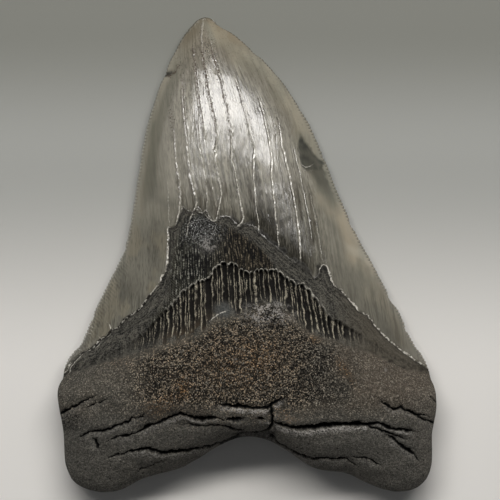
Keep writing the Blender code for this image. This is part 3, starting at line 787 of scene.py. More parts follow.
# ================================================================ serrations
def edge_shift(x, y, side):
    """How far each point of a cutting edge moves out, in mm, down the rows of the grid."""
    run = np.concatenate([[0], np.cumsum(np.hypot(np.diff(x), np.diff(y)))])
    teeth = run / SERRATION + 0.22 * noise(run / 3.1, 0 * run, seed=240 + side)
    size = 0.5 + 0.5 * noise(run / 4.5, 0 * run, seed=250 + side)
    shape = np.abs(np.sin(np.pi * teeth)) - 0.62
    blade = smoothstep(-36.5, -32.5, y) * smoothstep(70.0, 66.5, y)
    chips = 0.0
    spots = ([(165.5, 74, 1.5, 0.45), (128, 250, 1.2, 0.25), (96, 318, 1.4, 0.35), (79, 346, 1.2, 0.40)]
             if side == 0 else
             [(219, 26, 1.3, 0.35), (253, 53, 1.3, 0.35), (300, 110, 1.0, 0.20), (323, 157, 1.0, 0.2),
              (350, 225, 1.6, 0.50), (389, 300, 1.6, 0.45), (407, 330, 1.0, 0.3)])
    for sx, sy, wide, deep in spots:
        _, at = to_mm(sx, sy)
        chips = chips + deep * np.exp(-((y - at) / wide) ** 2)
    return blade * (0.50 * size * shape + 0.12 * noise(run / 2.2, 0 * run, seed=260 + side)) - chips, teeth


# ================================================================ mesh
def build_tooth():
    across, along = column_steps(), row_steps()
    nu, nv = len(across) - 1, len(along) - 1
    a = across[None, :] + 0 * along[:, None]
    b = along[:, None] + 0 * across[None, :]
    sx, sy = plan(a, b)
    x, y = to_mm(sx, sy)
    inside = inside_mm(across, along)
    rim, top, bottom = heights(a, x, y, inside)
    ring = np.zeros(a.shape, bool)
    ring[0], ring[-1], ring[:, 0], ring[:, -1] = True, True, True, True

    # cutting edges
    shift_x, shift_y, notch = np.zeros_like(x), np.zeros_like(x), np.zeros_like(x)
    counted = []
    for side, col in ((0, 0), (1, nu)):
        ex, ey = x[:, col], y[:, col]
        move, teeth = edge_shift(ex, ey, side)
        counted.append(teeth)
        tx, ty = np.gradient(ex), np.gradient(ey)
        size = np.maximum(np.hypot(tx, ty), 1e-9)
        out_x, out_y = (-ty / size, tx / size) if side == 0 else (ty / size, -tx / size)
        half = (a < 0) if side == 0 else (a >= 0)
        hold = np.exp(-(inside / 0.55) ** 2) * half
        shift_x += hold * (move * out_x)[:, None]
        shift_y += hold * (move * out_y)[:, None]
        notch += np.exp(-(inside / 0.7)) * half * (np.abs(np.cos(np.pi * teeth)) ** 3)[:, None] \
            * (smoothstep(-36, -32, y) * smoothstep(70, 67, y))

    def skin(base, carve, sign):
        n = normals(x, y, base) * sign
        fade = smoothstep(0.0, 0.45, inside)
        lift = carve["lift"].reshape(x.shape) * fade - 0.05 * notch * (1 - ring)
        p = np.stack([x + shift_x, y + shift_y, base]) + n * lift
        return p

    up = face_up(sx.ravel(), sy.ravel(), inside.ravel())
    p_up = skin(top, up, 1)
    edge = np.stack([x + shift_x, y + shift_y, rim])
    p_up = np.where(ring[None], edge, p_up)
    p_up[2] = np.where(ring, p_up[2], np.maximum(p_up[2], rim + 0.02))

    sel_v, sel_u = np.arange(0, nv + 1, 2), np.arange(0, nu + 1, 2)
    pick = np.ix_(sel_v, sel_u)
    down = face_down(sx[pick].ravel(), sy[pick].ravel(), inside[pick].ravel())
    n = normals(x[pick], y[pick], bottom[pick]) * -1
    lift = down["lift"].reshape(x[pick].shape) * smoothstep(0.0, 0.6, inside[pick])
    p_dn = np.stack([(x + shift_x)[pick], (y + shift_y)[pick], bottom[pick]]) + n * lift
    p_dn[2] = np.clip(p_dn[2], 0.0, rim[pick] - 0.02)

    # vertices: the whole upper grid, then the inner part of the lower grid
    w = nu + 1
    wu = len(sel_u)
    inner = np.s_[1:len(sel_v) - 1, 1:wu - 1]
    first = (nv + 1) * w
    number = np.full((len(sel_v), wu), -1, np.int64)
    number[inner] = first + np.arange((len(sel_v) - 2) * (wu - 2)).reshape(len(sel_v) - 2, wu - 2)
    grid_id = np.arange(first).reshape(nv + 1, w)
    coarse_ring = number < 0
    number[coarse_ring] = grid_id[pick][coarse_ring]
    pts = np.concatenate([p_up.reshape(3, -1).T, p_dn[:, 1:-1, 1:-1].reshape(3, -1).T])
    jj, ii = np.meshgrid(np.arange(nv + 1), np.arange(w), indexing="ij")
    place = np.concatenate([
        np.stack([ii.ravel(), jj.ravel(), np.ones(first)], 1),
        np.stack([ii[pick][1:-1, 1:-1].ravel(), jj[pick][1:-1, 1:-1].ravel(),
                  np.zeros((len(sel_v) - 2) * (wu - 2))], 1)])

    g = grid_id
    quads_up = np.stack([g[:-1, :-1], g[:-1, 1:], g[1:, 1:], g[1:, :-1]], -1).reshape(-1, 4)
    cn = number
    quads_dn = np.stack([cn[:-1, :-1], cn[1:, :-1], cn[1:, 1:], cn[:-1, 1:]], -1)
    edge_cell = np.zeros(quads_dn.shape[:2], bool)
    edge_cell[0], edge_cell[-1], edge_cell[:, 0], edge_cell[:, -1] = True, True, True, True
    plain = quads_dn[~edge_cell]
    fans = []
    nvc, nuc = quads_dn.shape[:2]
    for j, i in zip(*np.nonzero(edge_cell)):
        v0, v1, v2, v3 = (int(k) for k in quads_dn[j, i])   # (j,i) (j+1,i) (j+1,i+1) (j,i+1)
        poly = [v0]
        if i == 0:
            poly.append(int(grid_id[2 * j + 1, 0]))
        poly.append(v1)
        if j == nvc - 1:
            poly.append(int(grid_id[nv, 2 * i + 1]))
        poly.append(v2)
        if i == nuc - 1:
            poly.append(int(grid_id[2 * j + 1, nu]))
        poly.append(v3)
        if j == 0:
            poly.append(int(grid_id[0, 2 * i + 1]))
        fans.append(poly)
    corners = np.concatenate([quads_up.ravel(), plain.ravel(), np.concatenate(fans)])
    sizes = np.concatenate([np.full(len(quads_up), 4), np.full(len(plain), 4),
                            [len(f) for f in fans]])
    starts = np.concatenate([[0], np.cumsum(sizes)[:-1]])
    lower = np.concatenate([np.zeros(len(quads_up)), np.ones(len(plain) + len(fans))])

    me = bpy.data.meshes.new("tooth_skin")
    me.vertices.add(len(pts))
    me.vertices.foreach_set("co", (pts * MM).astype(np.float32).ravel())
    me.loops.add(len(corners))
    me.loops.foreach_set("vertex_index", corners.astype(np.int32))
    me.polygons.add(len(sizes))
    me.polygons.foreach_set("loop_start", starts.astype(np.int32))
    me.polygons.foreach_set("material_index", lower.astype(np.int32))
    me.update(calc_edges=True)
    me.attributes.new("place", "FLOAT_VECTOR", "POINT").data.foreach_set(
        "vector", place.astype(np.float32).ravel())

    rough = bpy.data.objects.new("tooth_rough", me)
    bpy.context.scene.collection.objects.link(rough)
    cut = rough.modifiers.new("fewer", "DECIMATE")
    triangles = int((sizes - 2).sum())
    cut.ratio = TARGET_TRIANGLES / triangles
    cut.use_collapse_triangulate = True
    graph = bpy.context.evaluated_depsgraph_get()
    done = bpy.data.meshes.new_from_object(rough.evaluated_get(graph), depsgraph=graph)
    bpy.data.objects.remove(rough)
    bpy.data.meshes.remove(me)
    done.name = "tooth_surface"
    print("grid", nu, "x", nv, "triangles", triangles, "->", len(done.polygons))
    paint(done, sx, sy, inside, p_up, p_dn, counted)
    return done


def sample(table, i, j):
    """Reads a grid at fractional column i and row j."""
    i = np.clip(i, 0, table.shape[1] - 1.001)
    j = np.clip(j, 0, table.shape[0] - 1.001)
    i0, j0 = i.astype(int), j.astype(int)
    fi, fj = i - i0, j - j0
    return ((table[j0, i0] * (1 - fi) + table[j0, i0 + 1] * fi) * (1 - fj)
            + (table[j0 + 1, i0] * (1 - fi) + table[j0 + 1, i0 + 1] * fi) * fj)


def unrolled(p):
    """Flat places for a grid of points: how far across from its middle column, how far along it."""
    mid = p.shape[2] // 2
    du = np.linalg.norm(np.diff(p, axis=2), axis=0)
    u = np.concatenate([np.zeros((p.shape[1], 1)), np.cumsum(du, axis=1)], axis=1)
    u = u - u[:, mid:mid + 1]
    dv = np.linalg.norm(np.diff(p[:, :, mid], axis=1), axis=0)
    v = np.concatenate([[0], np.cumsum(dv)])
    return u, v[:, None] + 0 * u


def paint(me, sx, sy, inside, p_up, p_dn, counted):
    """Masks for the material at each vertex, and a flat map of the two faces."""
    count = len(me.vertices)
    place = np.empty(count * 3, np.float32)
    me.attributes["place"].data.foreach_get("vector", place)
    i, j, side = place.reshape(-1, 3).astype(float).T
    x, y, ins = sample(sx, i, j), sample(sy, i, j), sample(inside, i, j)
    up, down = face_up(x, y, ins), face_down(x, y, ins)
    share = smoothstep(0.3, 0.7, side)
    m = {k: up[k] * share + down[k] * (1 - share) for k in up}
    none = np.zeros(count)

    def store(name, *parts):
        data = np.stack([*parts, np.ones(count)], 1).astype(np.float32)
        me.attributes.new(name, "FLOAT_COLOR", "POINT").data.foreach_set("color", data.ravel())

    store("zones", m["enamel"], m["neck"], m["root"])
    store("pale_dark_margin", m["pale"], m["dark"], m["margin"])
    store("stain_shade_middle", m["stain"], m["shade"], m["middle"])
    store("earth", m["grain"], m["rust"], m["centre"])
    store("force", m["lit"], m["black"], m["comb"])
    store("shine", m["spark"], m["worn"], m["knit"])

    def store_vector(name, *parts):
        data = np.stack(parts, 1).astype(np.float32)
        me.attributes.new(name, "FLOAT_VECTOR", "POINT").data.foreach_set("vector", data.ravel())

    store_vector("flow", m["q"] * SQ, (CY - y) * SQ, none)
    store_vector("lines", m["e"] * SQ, m["c"] * SQ, m["r"] * SQ)
    store_vector("crack", m["crack"] * SQ, m["run"] * SQ, m["phase"])
    store_vector("cleft", m["cleft"] * SQ, m["rim"], m["patch"])
    rows = np.arange(sx.shape[0])
    teeth = np.where(i < (sx.shape[1] - 1) / 2, np.interp(j, rows, counted[0]),
                     np.interp(j, rows, counted[1]))
    store_vector("saw", teeth, ins, m["beads"])

    # the map: the bulging face upright, the flat face upside down beside it
    uu, uv = unrolled(p_up)
    du, dv = unrolled(p_dn)
    scale_up, scale_dn = 0.80 / uv.max(), 0.62 / dv.max()
    tu = 0.012 + (uu - uu.min()) * scale_up
    tv = 0.012 + uv * scale_up
    bu = 0.988 - (du - du.min()) * scale_dn
    bv = 0.988 - dv * scale_dn
    fu, fv = sample(tu, i, j), sample(tv, i, j)
    gu, gv = sample(bu, i / 2, j / 2), sample(bv, i / 2, j / 2)
    lower = np.empty(len(me.polygons), np.int32)
    me.polygons.foreach_get("material_index", lower)
    total = np.empty(len(me.polygons), np.int32)
    me.polygons.foreach_get("loop_total", total)
    lower = np.repeat(lower, total) > 0
    vert = np.empty(len(me.loops), np.int32)
    me.loops.foreach_get("vertex_index", vert)
    uvs = np.stack([np.where(lower, gu[vert], fu[vert]), np.where(lower, gv[vert], fv[vert])], 1)
    me.uv_layers.new(name="OFBake").uv.foreach_set("vector", uvs.astype(np.float32).ravel())
    me.polygons.foreach_set("material_index", np.zeros(len(me.polygons), np.int32))
    me.attributes.remove(me.attributes["place"])
    me.shade_smooth()


# ================================================================ material
class Nodes:
    """Short names for the nodes that the material is written with."""

    def __init__(self, tree):
        self.tree = tree

    def add(self, kind, **values):
        node = self.tree.nodes.new(kind)
        for key, value in values.items():
            setattr(node, key, value)
        return node

    def put(self, socket, value):
        if isinstance(value, bpy.types.NodeSocket):
            self.tree.links.new(value, socket)
        else:
            socket.default_value = value

    def math(self, how, a, b=0.0, c=0.0, clamp=False):
        node = self.add("ShaderNodeMath", operation=how, use_clamp=clamp)
        for k, v in enumerate((a, b, c)):
            self.put(node.inputs[k], v)
        return node.outputs[0]

    def mul(self, *parts):
        out = parts[0]
        for p in parts[1:]:
            out = self.math("MULTIPLY", out, p)
        return out

    def plus(self, *parts):
        out = parts[0]
        for p in parts[1:]:
            out = self.math("ADD", out, p)
        return out

    def band(self, value, low, high, out_low=0.0, out_high=1.0):
        node = self.add("ShaderNodeMapRange", interpolation_type="SMOOTHSTEP")
        for k, v in zip(("Value", "From Min", "From Max", "To Min", "To Max"),
                        (value, low, high, out_low, out_high)):
            self.put(node.inputs[k], v)
        return node.outputs[0]

    def mix(self, share, a, b, how="MIX"):
        node = self.add("ShaderNodeMix", data_type="RGBA", blend_type=how)
        self.put(node.inputs[0], share)
        for k, v in ((6, a), (7, b)):
            self.put(node.inputs[k], v if isinstance(v, bpy.types.NodeSocket) else (*v, 1.0))
        return node.outputs[2]

    def scaled(self, vector, x, y, z):
        node = self.add("ShaderNodeVectorMath", operation="MULTIPLY")
        self.put(node.inputs[0], vector)
        node.inputs[1].default_value = (x, y, z)
        return node.outputs[0]

    def noise(self, vector, scale=1.0, detail=2.0, rough=0.5, lean=0.0):
        node = self.add("ShaderNodeTexNoise")
        self.put(node.inputs["Vector"], vector)
        node.inputs["Scale"].default_value = scale
        node.inputs["Detail"].default_value = detail
        node.inputs["Roughness"].default_value = rough
        node.inputs["Distortion"].default_value = lean
        return node.outputs["Fac"]

    def cells(self, vector, scale, feature="F1", flat=False):
        node = self.add("ShaderNodeTexVoronoi", feature=feature,
                        voronoi_dimensions="2D" if flat else "3D")
        self.put(node.inputs["Vector"], vector)
        node.inputs["Scale"].default_value = scale
        return node.outputs["Distance"], node.outputs["Color"] if feature == "F1" else None

    def tones(self, colour):
        """Two random numbers of a cell."""
        split = self.add("ShaderNodeSeparateColor")
        self.tree.links.new(colour, split.inputs[0])
        return split.outputs[0], split.outputs[1]

    def parts(self, name):
        attr = self.add("ShaderNodeAttribute", attribute_name=name)
        split = self.add("ShaderNodeSeparateXYZ")
        self.tree.links.new(attr.outputs["Vector"], split.inputs[0])
        return split.outputs[0], split.outputs[1], split.outputs[2]

    def pair(self, x, y):
        node = self.add("ShaderNodeCombineXYZ")
        self.put(node.inputs[0], x)
        self.put(node.inputs[1], y)
        return node.outputs[0]

    def bent(self, vector, amount):
        """The vector moved about by a little noise."""
        node = self.add("ShaderNodeTexNoise")
        self.put(node.inputs["Vector"], vector)
        node.inputs["Scale"].default_value = 1.1
        move = self.add("ShaderNodeVectorMath", operation="SCALE")
        self.put(move.inputs[0], node.outputs["Color"])
        move.inputs[3].default_value = amount
        out = self.add("ShaderNodeVectorMath", operation="ADD")
        self.put(out.inputs[0], vector)
        self.put(out.inputs[1], move.outputs[0])
        return out.outputs[0]

    def line(self, value, outer, inner):
        """One on value 0, none beyond outer."""
        return self.band(self.math("ABSOLUTE", value), outer, inner)

    def channels(self, name):
        attr = self.add("ShaderNodeAttribute", attribute_name=name)
        split = self.add("ShaderNodeSeparateColor")
        self.tree.links.new(attr.outputs["Color"], split.inputs[0])
        return split.outputs[0], split.outputs[1], split.outputs[2]


def tooth_material():
    mat = bpy.data.materials.new("fossil_tooth")
    mat.use_nodes = True
    tree = mat.node_tree
    bsdf = tree.nodes["Principled BSDF"]
    n = Nodes(tree)
    enamel, neck, root = n.channels("zones")
    pale, dark, margin = n.channels("pale_dark_margin")
    stain, shade, middle = n.channels("stain_shade_middle")
    grain, rust, centre = n.channels("earth")
    lit, black, comb = n.channels("force")
    spark, worn, knit = n.channels("shine")
    edge_line, lip_line, root_line = n.parts("lines")
    crack, run, phase = n.parts("crack")
    cleft, rim_lit, film = n.parts("cleft")
    teeth, inside, beads = n.parts("saw")
    flow = n.add("ShaderNodeAttribute", attribute_name="flow").outputs["Vector"]
    flow_x, flow_y, _ = n.parts("flow")
    here = n.scaled(n.add("ShaderNodeTexCoord").outputs["Object"], 1 / MM, 1 / MM, 1 / MM)

    # ---- patterns: short dashes down the grain, and round grains
    flow_bent = n.bent(flow, 0.5)
    dash_d, dash_id = n.cells(n.scaled(flow_bent, 2.6, 0.80, 1), 1.0, flat=True)
    dash_a, dash_b = n.tones(dash_id)
    here_bent = n.bent(here, 0.5)
    grain_d, grain_id = n.cells(here_bent, 2.3)
    grain_a, grain_b = n.tones(grain_id)
    small_d, small_id = n.cells(n.scaled(here_bent, 1.0, 1.0, -1.0), 3.2)
    small_a, small_b = n.tones(small_id)
    clump = n.noise(here, 0.45, 2.0, 0.6)
    grit = n.noise(here, 1.95, 3.0, 0.80)
    dust = n.noise(here, 2.2, 2.0, 0.7)
    ragged = n.plus(n.noise(here, 2.4, 2.0, 0.7), -0.5)
    crumbs = n.plus(n.noise(here, 1.9, 4.0, 0.85), n.mul(n.plus(clump, -0.5), 0.45))
    sparse = n.noise(here, 3.1, 1.0, 0.5)

    # ---- enamel: grey streaks down the grain, olive-tan margins
    streak = n.noise(n.scaled(flow, 1.15, 0.060, 1), 1.0, 3.0, 0.65)
    fine = n.noise(n.scaled(flow, 3.4, 0.36, 1), 1.0, 2.0, 0.6)
    cloud = n.noise(n.scaled(here, 0.11, 0.075, 0.1), 1.0, 3.0, 0.55)
    share = n.plus(0.5, n.mul(n.plus(n.band(streak, 0.30, 0.70), -0.5), n.plus(n.mul(middle, 0.62), 0.38)))
    e_col = n.mix(share, (0.128, 0.122, 0.098), (0.318, 0.300, 0.242))
    e_col = n.mix(n.mul(n.band(fine, 0.48, 0.72), n.plus(n.mul(middle, 0.50), 0.10)), e_col, (0.062, 0.055, 0.043))
    e_col = n.mix(n.mul(n.band(cloud, 0.45, 0.70), 0.5), e_col, (0.105, 0.101, 0.083))
    e_col = n.mix(n.mul(n.band(dash_a, 0.70, 0.95), middle, 0.45), e_col, (0.040, 0.035, 0.028))
    e_col = n.mix(n.mul(n.band(dash_b, 0.80, 0.98), middle, 0.35), e_col, (0.38, 0.35, 0.29))
    # paler flanks, brown streaks in the lower middle, tan near the tip
    flank = n.math("MAXIMUM", n.mul(n.line(n.plus(flow_x, 16.0), 7.0, 2.5), n.band(flow_y, 12.0, 22.0), 0.42),
                   n.mul(n.band(flow_x, 9.0, 14.0), n.band(flow_y, 14.0, 24.0), 0.45))
    e_col = n.mix(n.mul(flank, n.band(fine, 0.62, 0.40, 0.6, 1.0)), e_col, (0.400, 0.378, 0.322))
    lower = n.band(flow_y, 38.0, 14.0)
    brown = n.noise(n.scaled(flow, 0.62, 0.085, 1), 1.0, 3.0, 0.6)
    e_col = n.mix(n.mul(n.band(brown, 0.48, 0.64), lower, middle, 0.60), e_col, (0.056, 0.045, 0.030))
    tip = n.band(flow_y, 46.0, 68.0)
    e_col = n.mix(n.mul(tip, 0.6), e_col, (0.175, 0.148, 0.108))
    m_col = n.mix(n.band(cloud, 0.35, 0.7), (0.235, 0.226, 0.176), (0.345, 0.312, 0.234))
    e_col = n.mix(n.mul(margin, n.band(flow_y, -25.0, 20.0, 0.30, 1.0), n.band(flow_x, -4.0, 4.0, 0.45, 0.75)),
                  e_col, m_col)
    e_col = n.mix(n.mul(n.band(flow_y, 0.0, -16.0), n.band(streak, 0.44, 0.62), 0.55), e_col,
                  (0.045, 0.042, 0.033))
    e_col = n.mix(n.mul(n.band(flow_y, -18.0, -30.0), 0.35), e_col, (0.060, 0.057, 0.046))
    # painted shade over the enamel near its end, with the darker grey cloud on the low left
    e_col = n.mix(n.math("MINIMUM", n.mul(shade, n.band(fine, 0.35, 0.60, 0.78, 1.18)), 1.0), e_col,
                  (0.022, 0.020, 0.014))
    e_col = n.mix(n.mul(n.line(n.plus(inside, n.mul(cloud, -2.0), -2.6), 2.6, 0.8), n.band(flow_x, -4.0, -8.0),
                        n.band(flow_y, 12.0, 22.0), n.band(flow_y, 66.0, 50.0), 0.42), e_col, (0.072, 0.072, 0.052))
    e_col = n.mix(n.mul(n.line(n.plus(inside, n.mul(cloud, -2.5), -3.6), 2.4, 0.8), n.band(flow_x, 0.0, 5.0),
                        n.band(flow_y, 20.0, 28.0), n.band(flow_y, 68.0, 60.0), 0.24), e_col, (0.092, 0.075, 0.050))
    e_col = n.mix(n.mul(n.band(flow_y, 58.0, 66.0), n.band(inside, 4.2, 1.6), n.band(cloud, 0.32, 0.52), 0.55), e_col,
                  (0.092, 0.070, 0.040))
    e_col = n.mix(n.mul(n.band(flow_y, 61.0, 66.0), n.band(flow_x, 1.0, 3.5), 0.30), e_col, (0.380, 0.310, 0.210))
    e_col = n.mix(n.mul(n.line(n.plus(flow_y, -60.0), 6.5, 2.0), n.line(n.plus(flow_x, 1.5), 5.0, 2.2),
                        n.band(small_d, 0.62, 0.30), n.band(small_a, 0.55, 0.72), 0.85), e_col, (0.016, 0.014, 0.010))
    low_left = n.mul(n.band(flow_y, 16.0, 2.0), n.band(flow_x, -10.0, -16.0))
    e_col = n.mix(n.mul(low_left, n.band(streak, 0.36, 0.60, 0.10, 0.50)), e_col, (0.070, 0.068, 0.056))
    e_col = n.mix(n.mul(low_left, n.band(cloud, 0.46, 0.60), 0.40), e_col, (0.255, 0.225, 0.160))
    e_col = n.mix(n.mul(low_left, n.band(fine, 0.50, 0.66), 0.35), e_col, (0.045, 0.042, 0.032))
    tan_side = n.mul(margin, n.band(flow_x, 10.0, 20.0), n.band(flow_y, 24.0, 10.0), n.band(flow_y, -16.0, -4.0, 0.15, 1.0),
                     n.band(cloud, 0.30, 0.60))
    e_col = n.mix(n.mul(tan_side, 0.45), e_col, (0.44, 0.375, 0.275))
    smear = n.plus(n.mul(flow_x, 0.62), n.mul(flow_y, 0.78), n.mul(cloud, 5.0), -22.0)
    e_col = n.mix(n.mul(n.line(smear, 2.2, 0.3), n.band(flow_x, 26.0, 30.0), n.band(flow_x, 40.0, 36.0), 0.35), e_col,
                  (0.46, 0.43, 0.35))
    comb_in = n.mul(n.plus(n.mul(flow_x, 0.77), n.mul(flow_y, 0.64), n.mul(cloud, 2.2)), 1.25)
    comb_in = n.mul(n.line(n.math("SUBTRACT", comb_in, n.math("ROUND", comb_in)), 0.42, 0.10),
                    n.band(inside, 5.0, 1.6), n.band(flow_x, -18.0, -24.0), n.band(flow_y, 2.0, -6.0),
                    n.band(fine, 0.36, 0.58, 0.2, 1.0))
    e_col = n.mix(n.mul(comb_in, 0.48), e_col, (0.052, 0.048, 0.036))
    e_col = n.mix(n.mul(stain, 1.05), e_col, (0.046, 0.047, 0.039))

    # ---- neck: threads down the grain in its middle, knitted above; strands along the band round it
    stripe = n.noise(n.scaled(flow_bent, 2.3, 0.30, 1), 1.0, 3.0, 0.65)
    wander = n.noise(n.scaled(flow, 0.42, 0.11, 1), 1.0, 2.0, 0.5)
    lane = n.plus(n.mul(flow_x, 1.50), n.mul(wander, 3.4), n.mul(ragged, 0.55))
    lane_id = n.math("ROUND", lane)
    lane_off = n.math("SUBTRACT", lane, lane_id)
    lane_tone = n.noise(n.pair(n.mul(lane_id, 7.3), n.mul(flow_y, 0.50)), 1.0, 3.0, 0.8)
    thread = n.mul(n.line(n.plus(lane_off, n.mul(ragged, 0.25)), 0.27, 0.06), n.band(lane_tone, 0.43, 0.64), n.band(sparse, 0.36, 0.56, 0.25, 1.0))
    slant = n.mul(n.plus(flow_x, flow_y, n.mul(wander, 1.4)), 1.35)
    slant = n.math("SUBTRACT", slant, n.math("ROUND", slant))
    hatch = n.mul(n.line(slant, 0.34, 0.08), n.band(flow_x, -17.0, -19.5), n.band(clump, 0.34, 0.55))
    knot = n.mul(n.band(small_d, 0.62, 0.18), n.math("POWER", small_a, 1.6))
    strand = n.noise(n.pair(n.plus(n.mul(edge_line, 2.3), n.mul(ragged, 0.3)), n.mul(flow_x, 0.34)), 1.0, 3.0, 0.75)
    n_col = n.mix(n.band(strand, 0.40, 0.62), (0.006, 0.006, 0.005), (0.094, 0.088, 0.072))
    n_col = n.mix(n.mul(n.band(dust, 0.46, 0.64), 0.50), n_col, (0.130, 0.125, 0.108))
    n_col = n.mix(n.mul(n.band(dust, 0.50, 0.34), 0.60), n_col, (0.002, 0.002, 0.0015))
    n_col = n.mix(n.mul(n.band(flow_x, 20.0, 32.0), 0.55), n_col, (0.092, 0.079, 0.058))
    tint = n.band(flow_x, -14.0, -2.0)
    c_col = n.mix(n.band(stripe, 0.47, 0.64), (0.001, 0.001, 0.001), n.mix(
        tint, (0.036, 0.035, 0.026), (0.026, 0.021, 0.013)))
    c_col = n.mix(n.mul(thread, 0.95), c_col, n.mix(tint, (0.37, 0.365, 0.31), (0.27, 0.225, 0.155)))
    c_col = n.mix(n.mul(hatch, 0.40), c_col, (0.13, 0.12, 0.09))
    c_col = n.mix(n.mul(knit, 0.80), c_col, (0.004, 0.004, 0.004))
    c_col = n.mix(n.math("MINIMUM", n.mul(knit, knot, 1.3), 1.0), c_col, (0.62, 0.625, 0.60))
    n_col = n.mix(n.mul(centre, 0.97), n_col, c_col)
    # painted shade in the grooves of the comb
    n_col = n.mix(n.mul(comb, 0.7), n_col, (0.006, 0.005, 0.004))
    n_col = n.mix(n.mul(film, 0.8), n_col, n.mix(n.band(dust, 0.35, 0.65), (0.040, 0.043, 0.042), (0.085, 0.090, 0.088)))
    n_col = n.mix(n.mul(rust, 0.75), n_col, (0.065, 0.048, 0.030))

    # ---- root: dark grains with black gaps between them, some sandy, darkest in the middle
    patch = n.noise(n.scaled(here, 0.12, 0.12, 0.12), 1.0, 3.0, 0.55)
    gritty = n.plus(n.mul(grain, 0.55), 0.45)
    base = n.mix(n.band(patch, 0.35, 0.68), (0.060, 0.056, 0.045), (0.098, 0.083, 0.062))
    base = n.mix(n.band(flow_y, -43.0, -52.0, 0.0, 0.95), base, (0.108, 0.103, 0.089))
    base = n.mix(n.mul(n.band(n.plus(flow_x, n.mul(n.plus(patch, -0.5), 24.0)), 16.0, 34.0), n.band(flow_y, -50.0, -40.0), 0.90), base, (0.128, 0.105, 0.080))
    base = n.mix(n.mul(n.band(flow_x, -22.0, -32.0), n.band(flow_y, -50.0, -40.0), 0.55), base, (0.106, 0.099, 0.083))
    base = n.mix(n.mul(n.band(flow_x, 36.0, 43.0), n.band(flow_y, -38.0, -44.0), 0.45), base, (0.190, 0.172, 0.145))
    r_col = n.mix(n.band(grain, 0.30, 0.95, 0.08, 0.95), base, (0.003, 0.0025, 0.001))
    shown = n.math("MAXIMUM", n.plus(n.mul(n.plus(clump, -0.5), 1.8), n.mul(n.plus(patch, -0.5), 0.60),
                                     n.mul(n.plus(grit, -0.5), 1.6), 0.95), 0.0)
    dots = n.math("MAXIMUM",
                  n.mul(n.band(grain_d, n.plus(n.mul(grain_b, 0.45), 0.45), 0.15),
                        n.math("POWER", grain_a, 2.8), 1.50),
                  n.mul(n.band(small_d, 0.75, 0.20), n.math("POWER", small_a, 4.5), 1.3))
    soot = n.math("MAXIMUM", n.band(grit, 0.53, 0.43), n.mul(n.band(grain_a, 0.58, 0.34), n.band(grain_d, 0.80, 0.35)))
    r_col = n.mix(n.mul(soot, gritty, 0.92), r_col, (0.001, 0.001, 0.001))
    sooty = n.mul(n.line(n.plus(flow_x, 47.5), 8.0, 4.0), n.line(n.plus(flow_y, 50.0), 3.6, 1.6))
    r_col = n.mix(n.mul(sooty, n.band(grit, 0.56, 0.48), 0.92), r_col, (0.001, 0.001, 0.001))
    bright = n.math("MINIMUM", n.mul(dots, shown, n.plus(n.mul(grain, 0.72), 0.36),
                                     n.band(flow_y, -46.0, -54.0, 1.0, 0.42),
                                     n.band(flow_x, 9.0, 19.0, 1.0, 0.90)), 1.0)
    sandy = n.mix(n.mul(small_b, n.band(flow_y, -46.0, -54.0, 1.0, 0.35), n.band(flow_x, 10.0, 18.0, 1.0, 0.35),
                        n.band(flow_x, -24.0, -34.0, 1.0, 0.30)),
                  (0.360, 0.335, 0.280), (0.600, 0.470, 0.320))
    sandy = n.mix(n.mul(rust, n.band(small_b, 0.30, 0.70)), sandy, (0.75, 0.40, 0.15))
    r_col = n.mix(bright, r_col, sandy)
    r_col = n.mix(n.mul(n.line(n.plus(flow_x, 19.5), 13.0, 5.0), n.line(n.plus(flow_y, 48.0), 4.0, 2.0), 0.42), r_col,
                  (0.004, 0.0035, 0.003))
    r_col = n.mix(n.mul(rust, 0.18), r_col, (0.080, 0.054, 0.028))

    # ---- thin lines, drawn from distances so that they stay thin
    along = n.noise(n.pair(run, crack), 0.95, 3.0, 0.7)
    crack = n.plus(crack, n.mul(ragged, 0.50))
    upper = n.mul(n.band(flow_y, 31.0, 42.0), n.band(flow_y, 66.0, 58.0, 0.35, 1.0))
    spots = n.noise(n.pair(run, crack), 2.7, 1.0, 0.5)
    # the pale line here is a painted highlight along the lit lip of each crack; the dark line is the crack's own
    # reddish-brown filling up high, and painted shade along one wall lower down
    wide = n.plus(n.mul(lit, 0.13), n.mul(along, 0.14), 0.05)
    lip_highlight_and_end_line = n.mul(n.math("POWER", lit, 0.6), n.line(n.plus(crack, 0.10), wide, n.mul(wide, 0.30)),
                  n.band(along, 0.36, 0.54, 0.12, 1.0), n.plus(n.mul(upper, -0.45), 1.0),
                  n.math("MAXIMUM", n.band(spots, 0.52, 0.42), n.plus(n.mul(upper, -1.0), 1.0)),
                  n.band(sparse, 0.34, 0.52, 0.35, 1.0))
    gap = n.mul(black, n.line(n.plus(crack, n.mul(n.plus(n.mul(upper, -1.0), 1.0), -0.28)),
                              n.plus(n.mul(along, 0.42), n.mul(upper, 0.20), 0.06), n.plus(n.mul(upper, 0.10), 0.05)),
                n.plus(n.mul(upper, 0.30), 0.70), n.band(along, 0.38, 0.54, 0.12, 1.0),
                n.math("MAXIMUM", n.band(spots, 0.40, 0.54, 0.15, 1.0), n.plus(n.mul(upper, -1.0), 1.0)))
    nick = n.mul(n.band(grain_a, 0.70, 0.78), n.band(grain_d, 0.62, 0.30), n.band(flow_y, 30.0, 38.0),
                 n.band(middle, 0.1, 0.6), n.band(n.math("ABSOLUTE", crack), 1.5, 0.6), n.band(clump, 0.34, 0.50))
    nick = n.math("MAXIMUM", nick, n.mul(n.band(small_a, 0.86, 0.90), n.band(small_d, 0.55, 0.30),
                                         n.band(flow_y, 30.0, 40.0), middle, 0.6))
    brink = n.noise(here, 0.9, 2.0, 0.7)
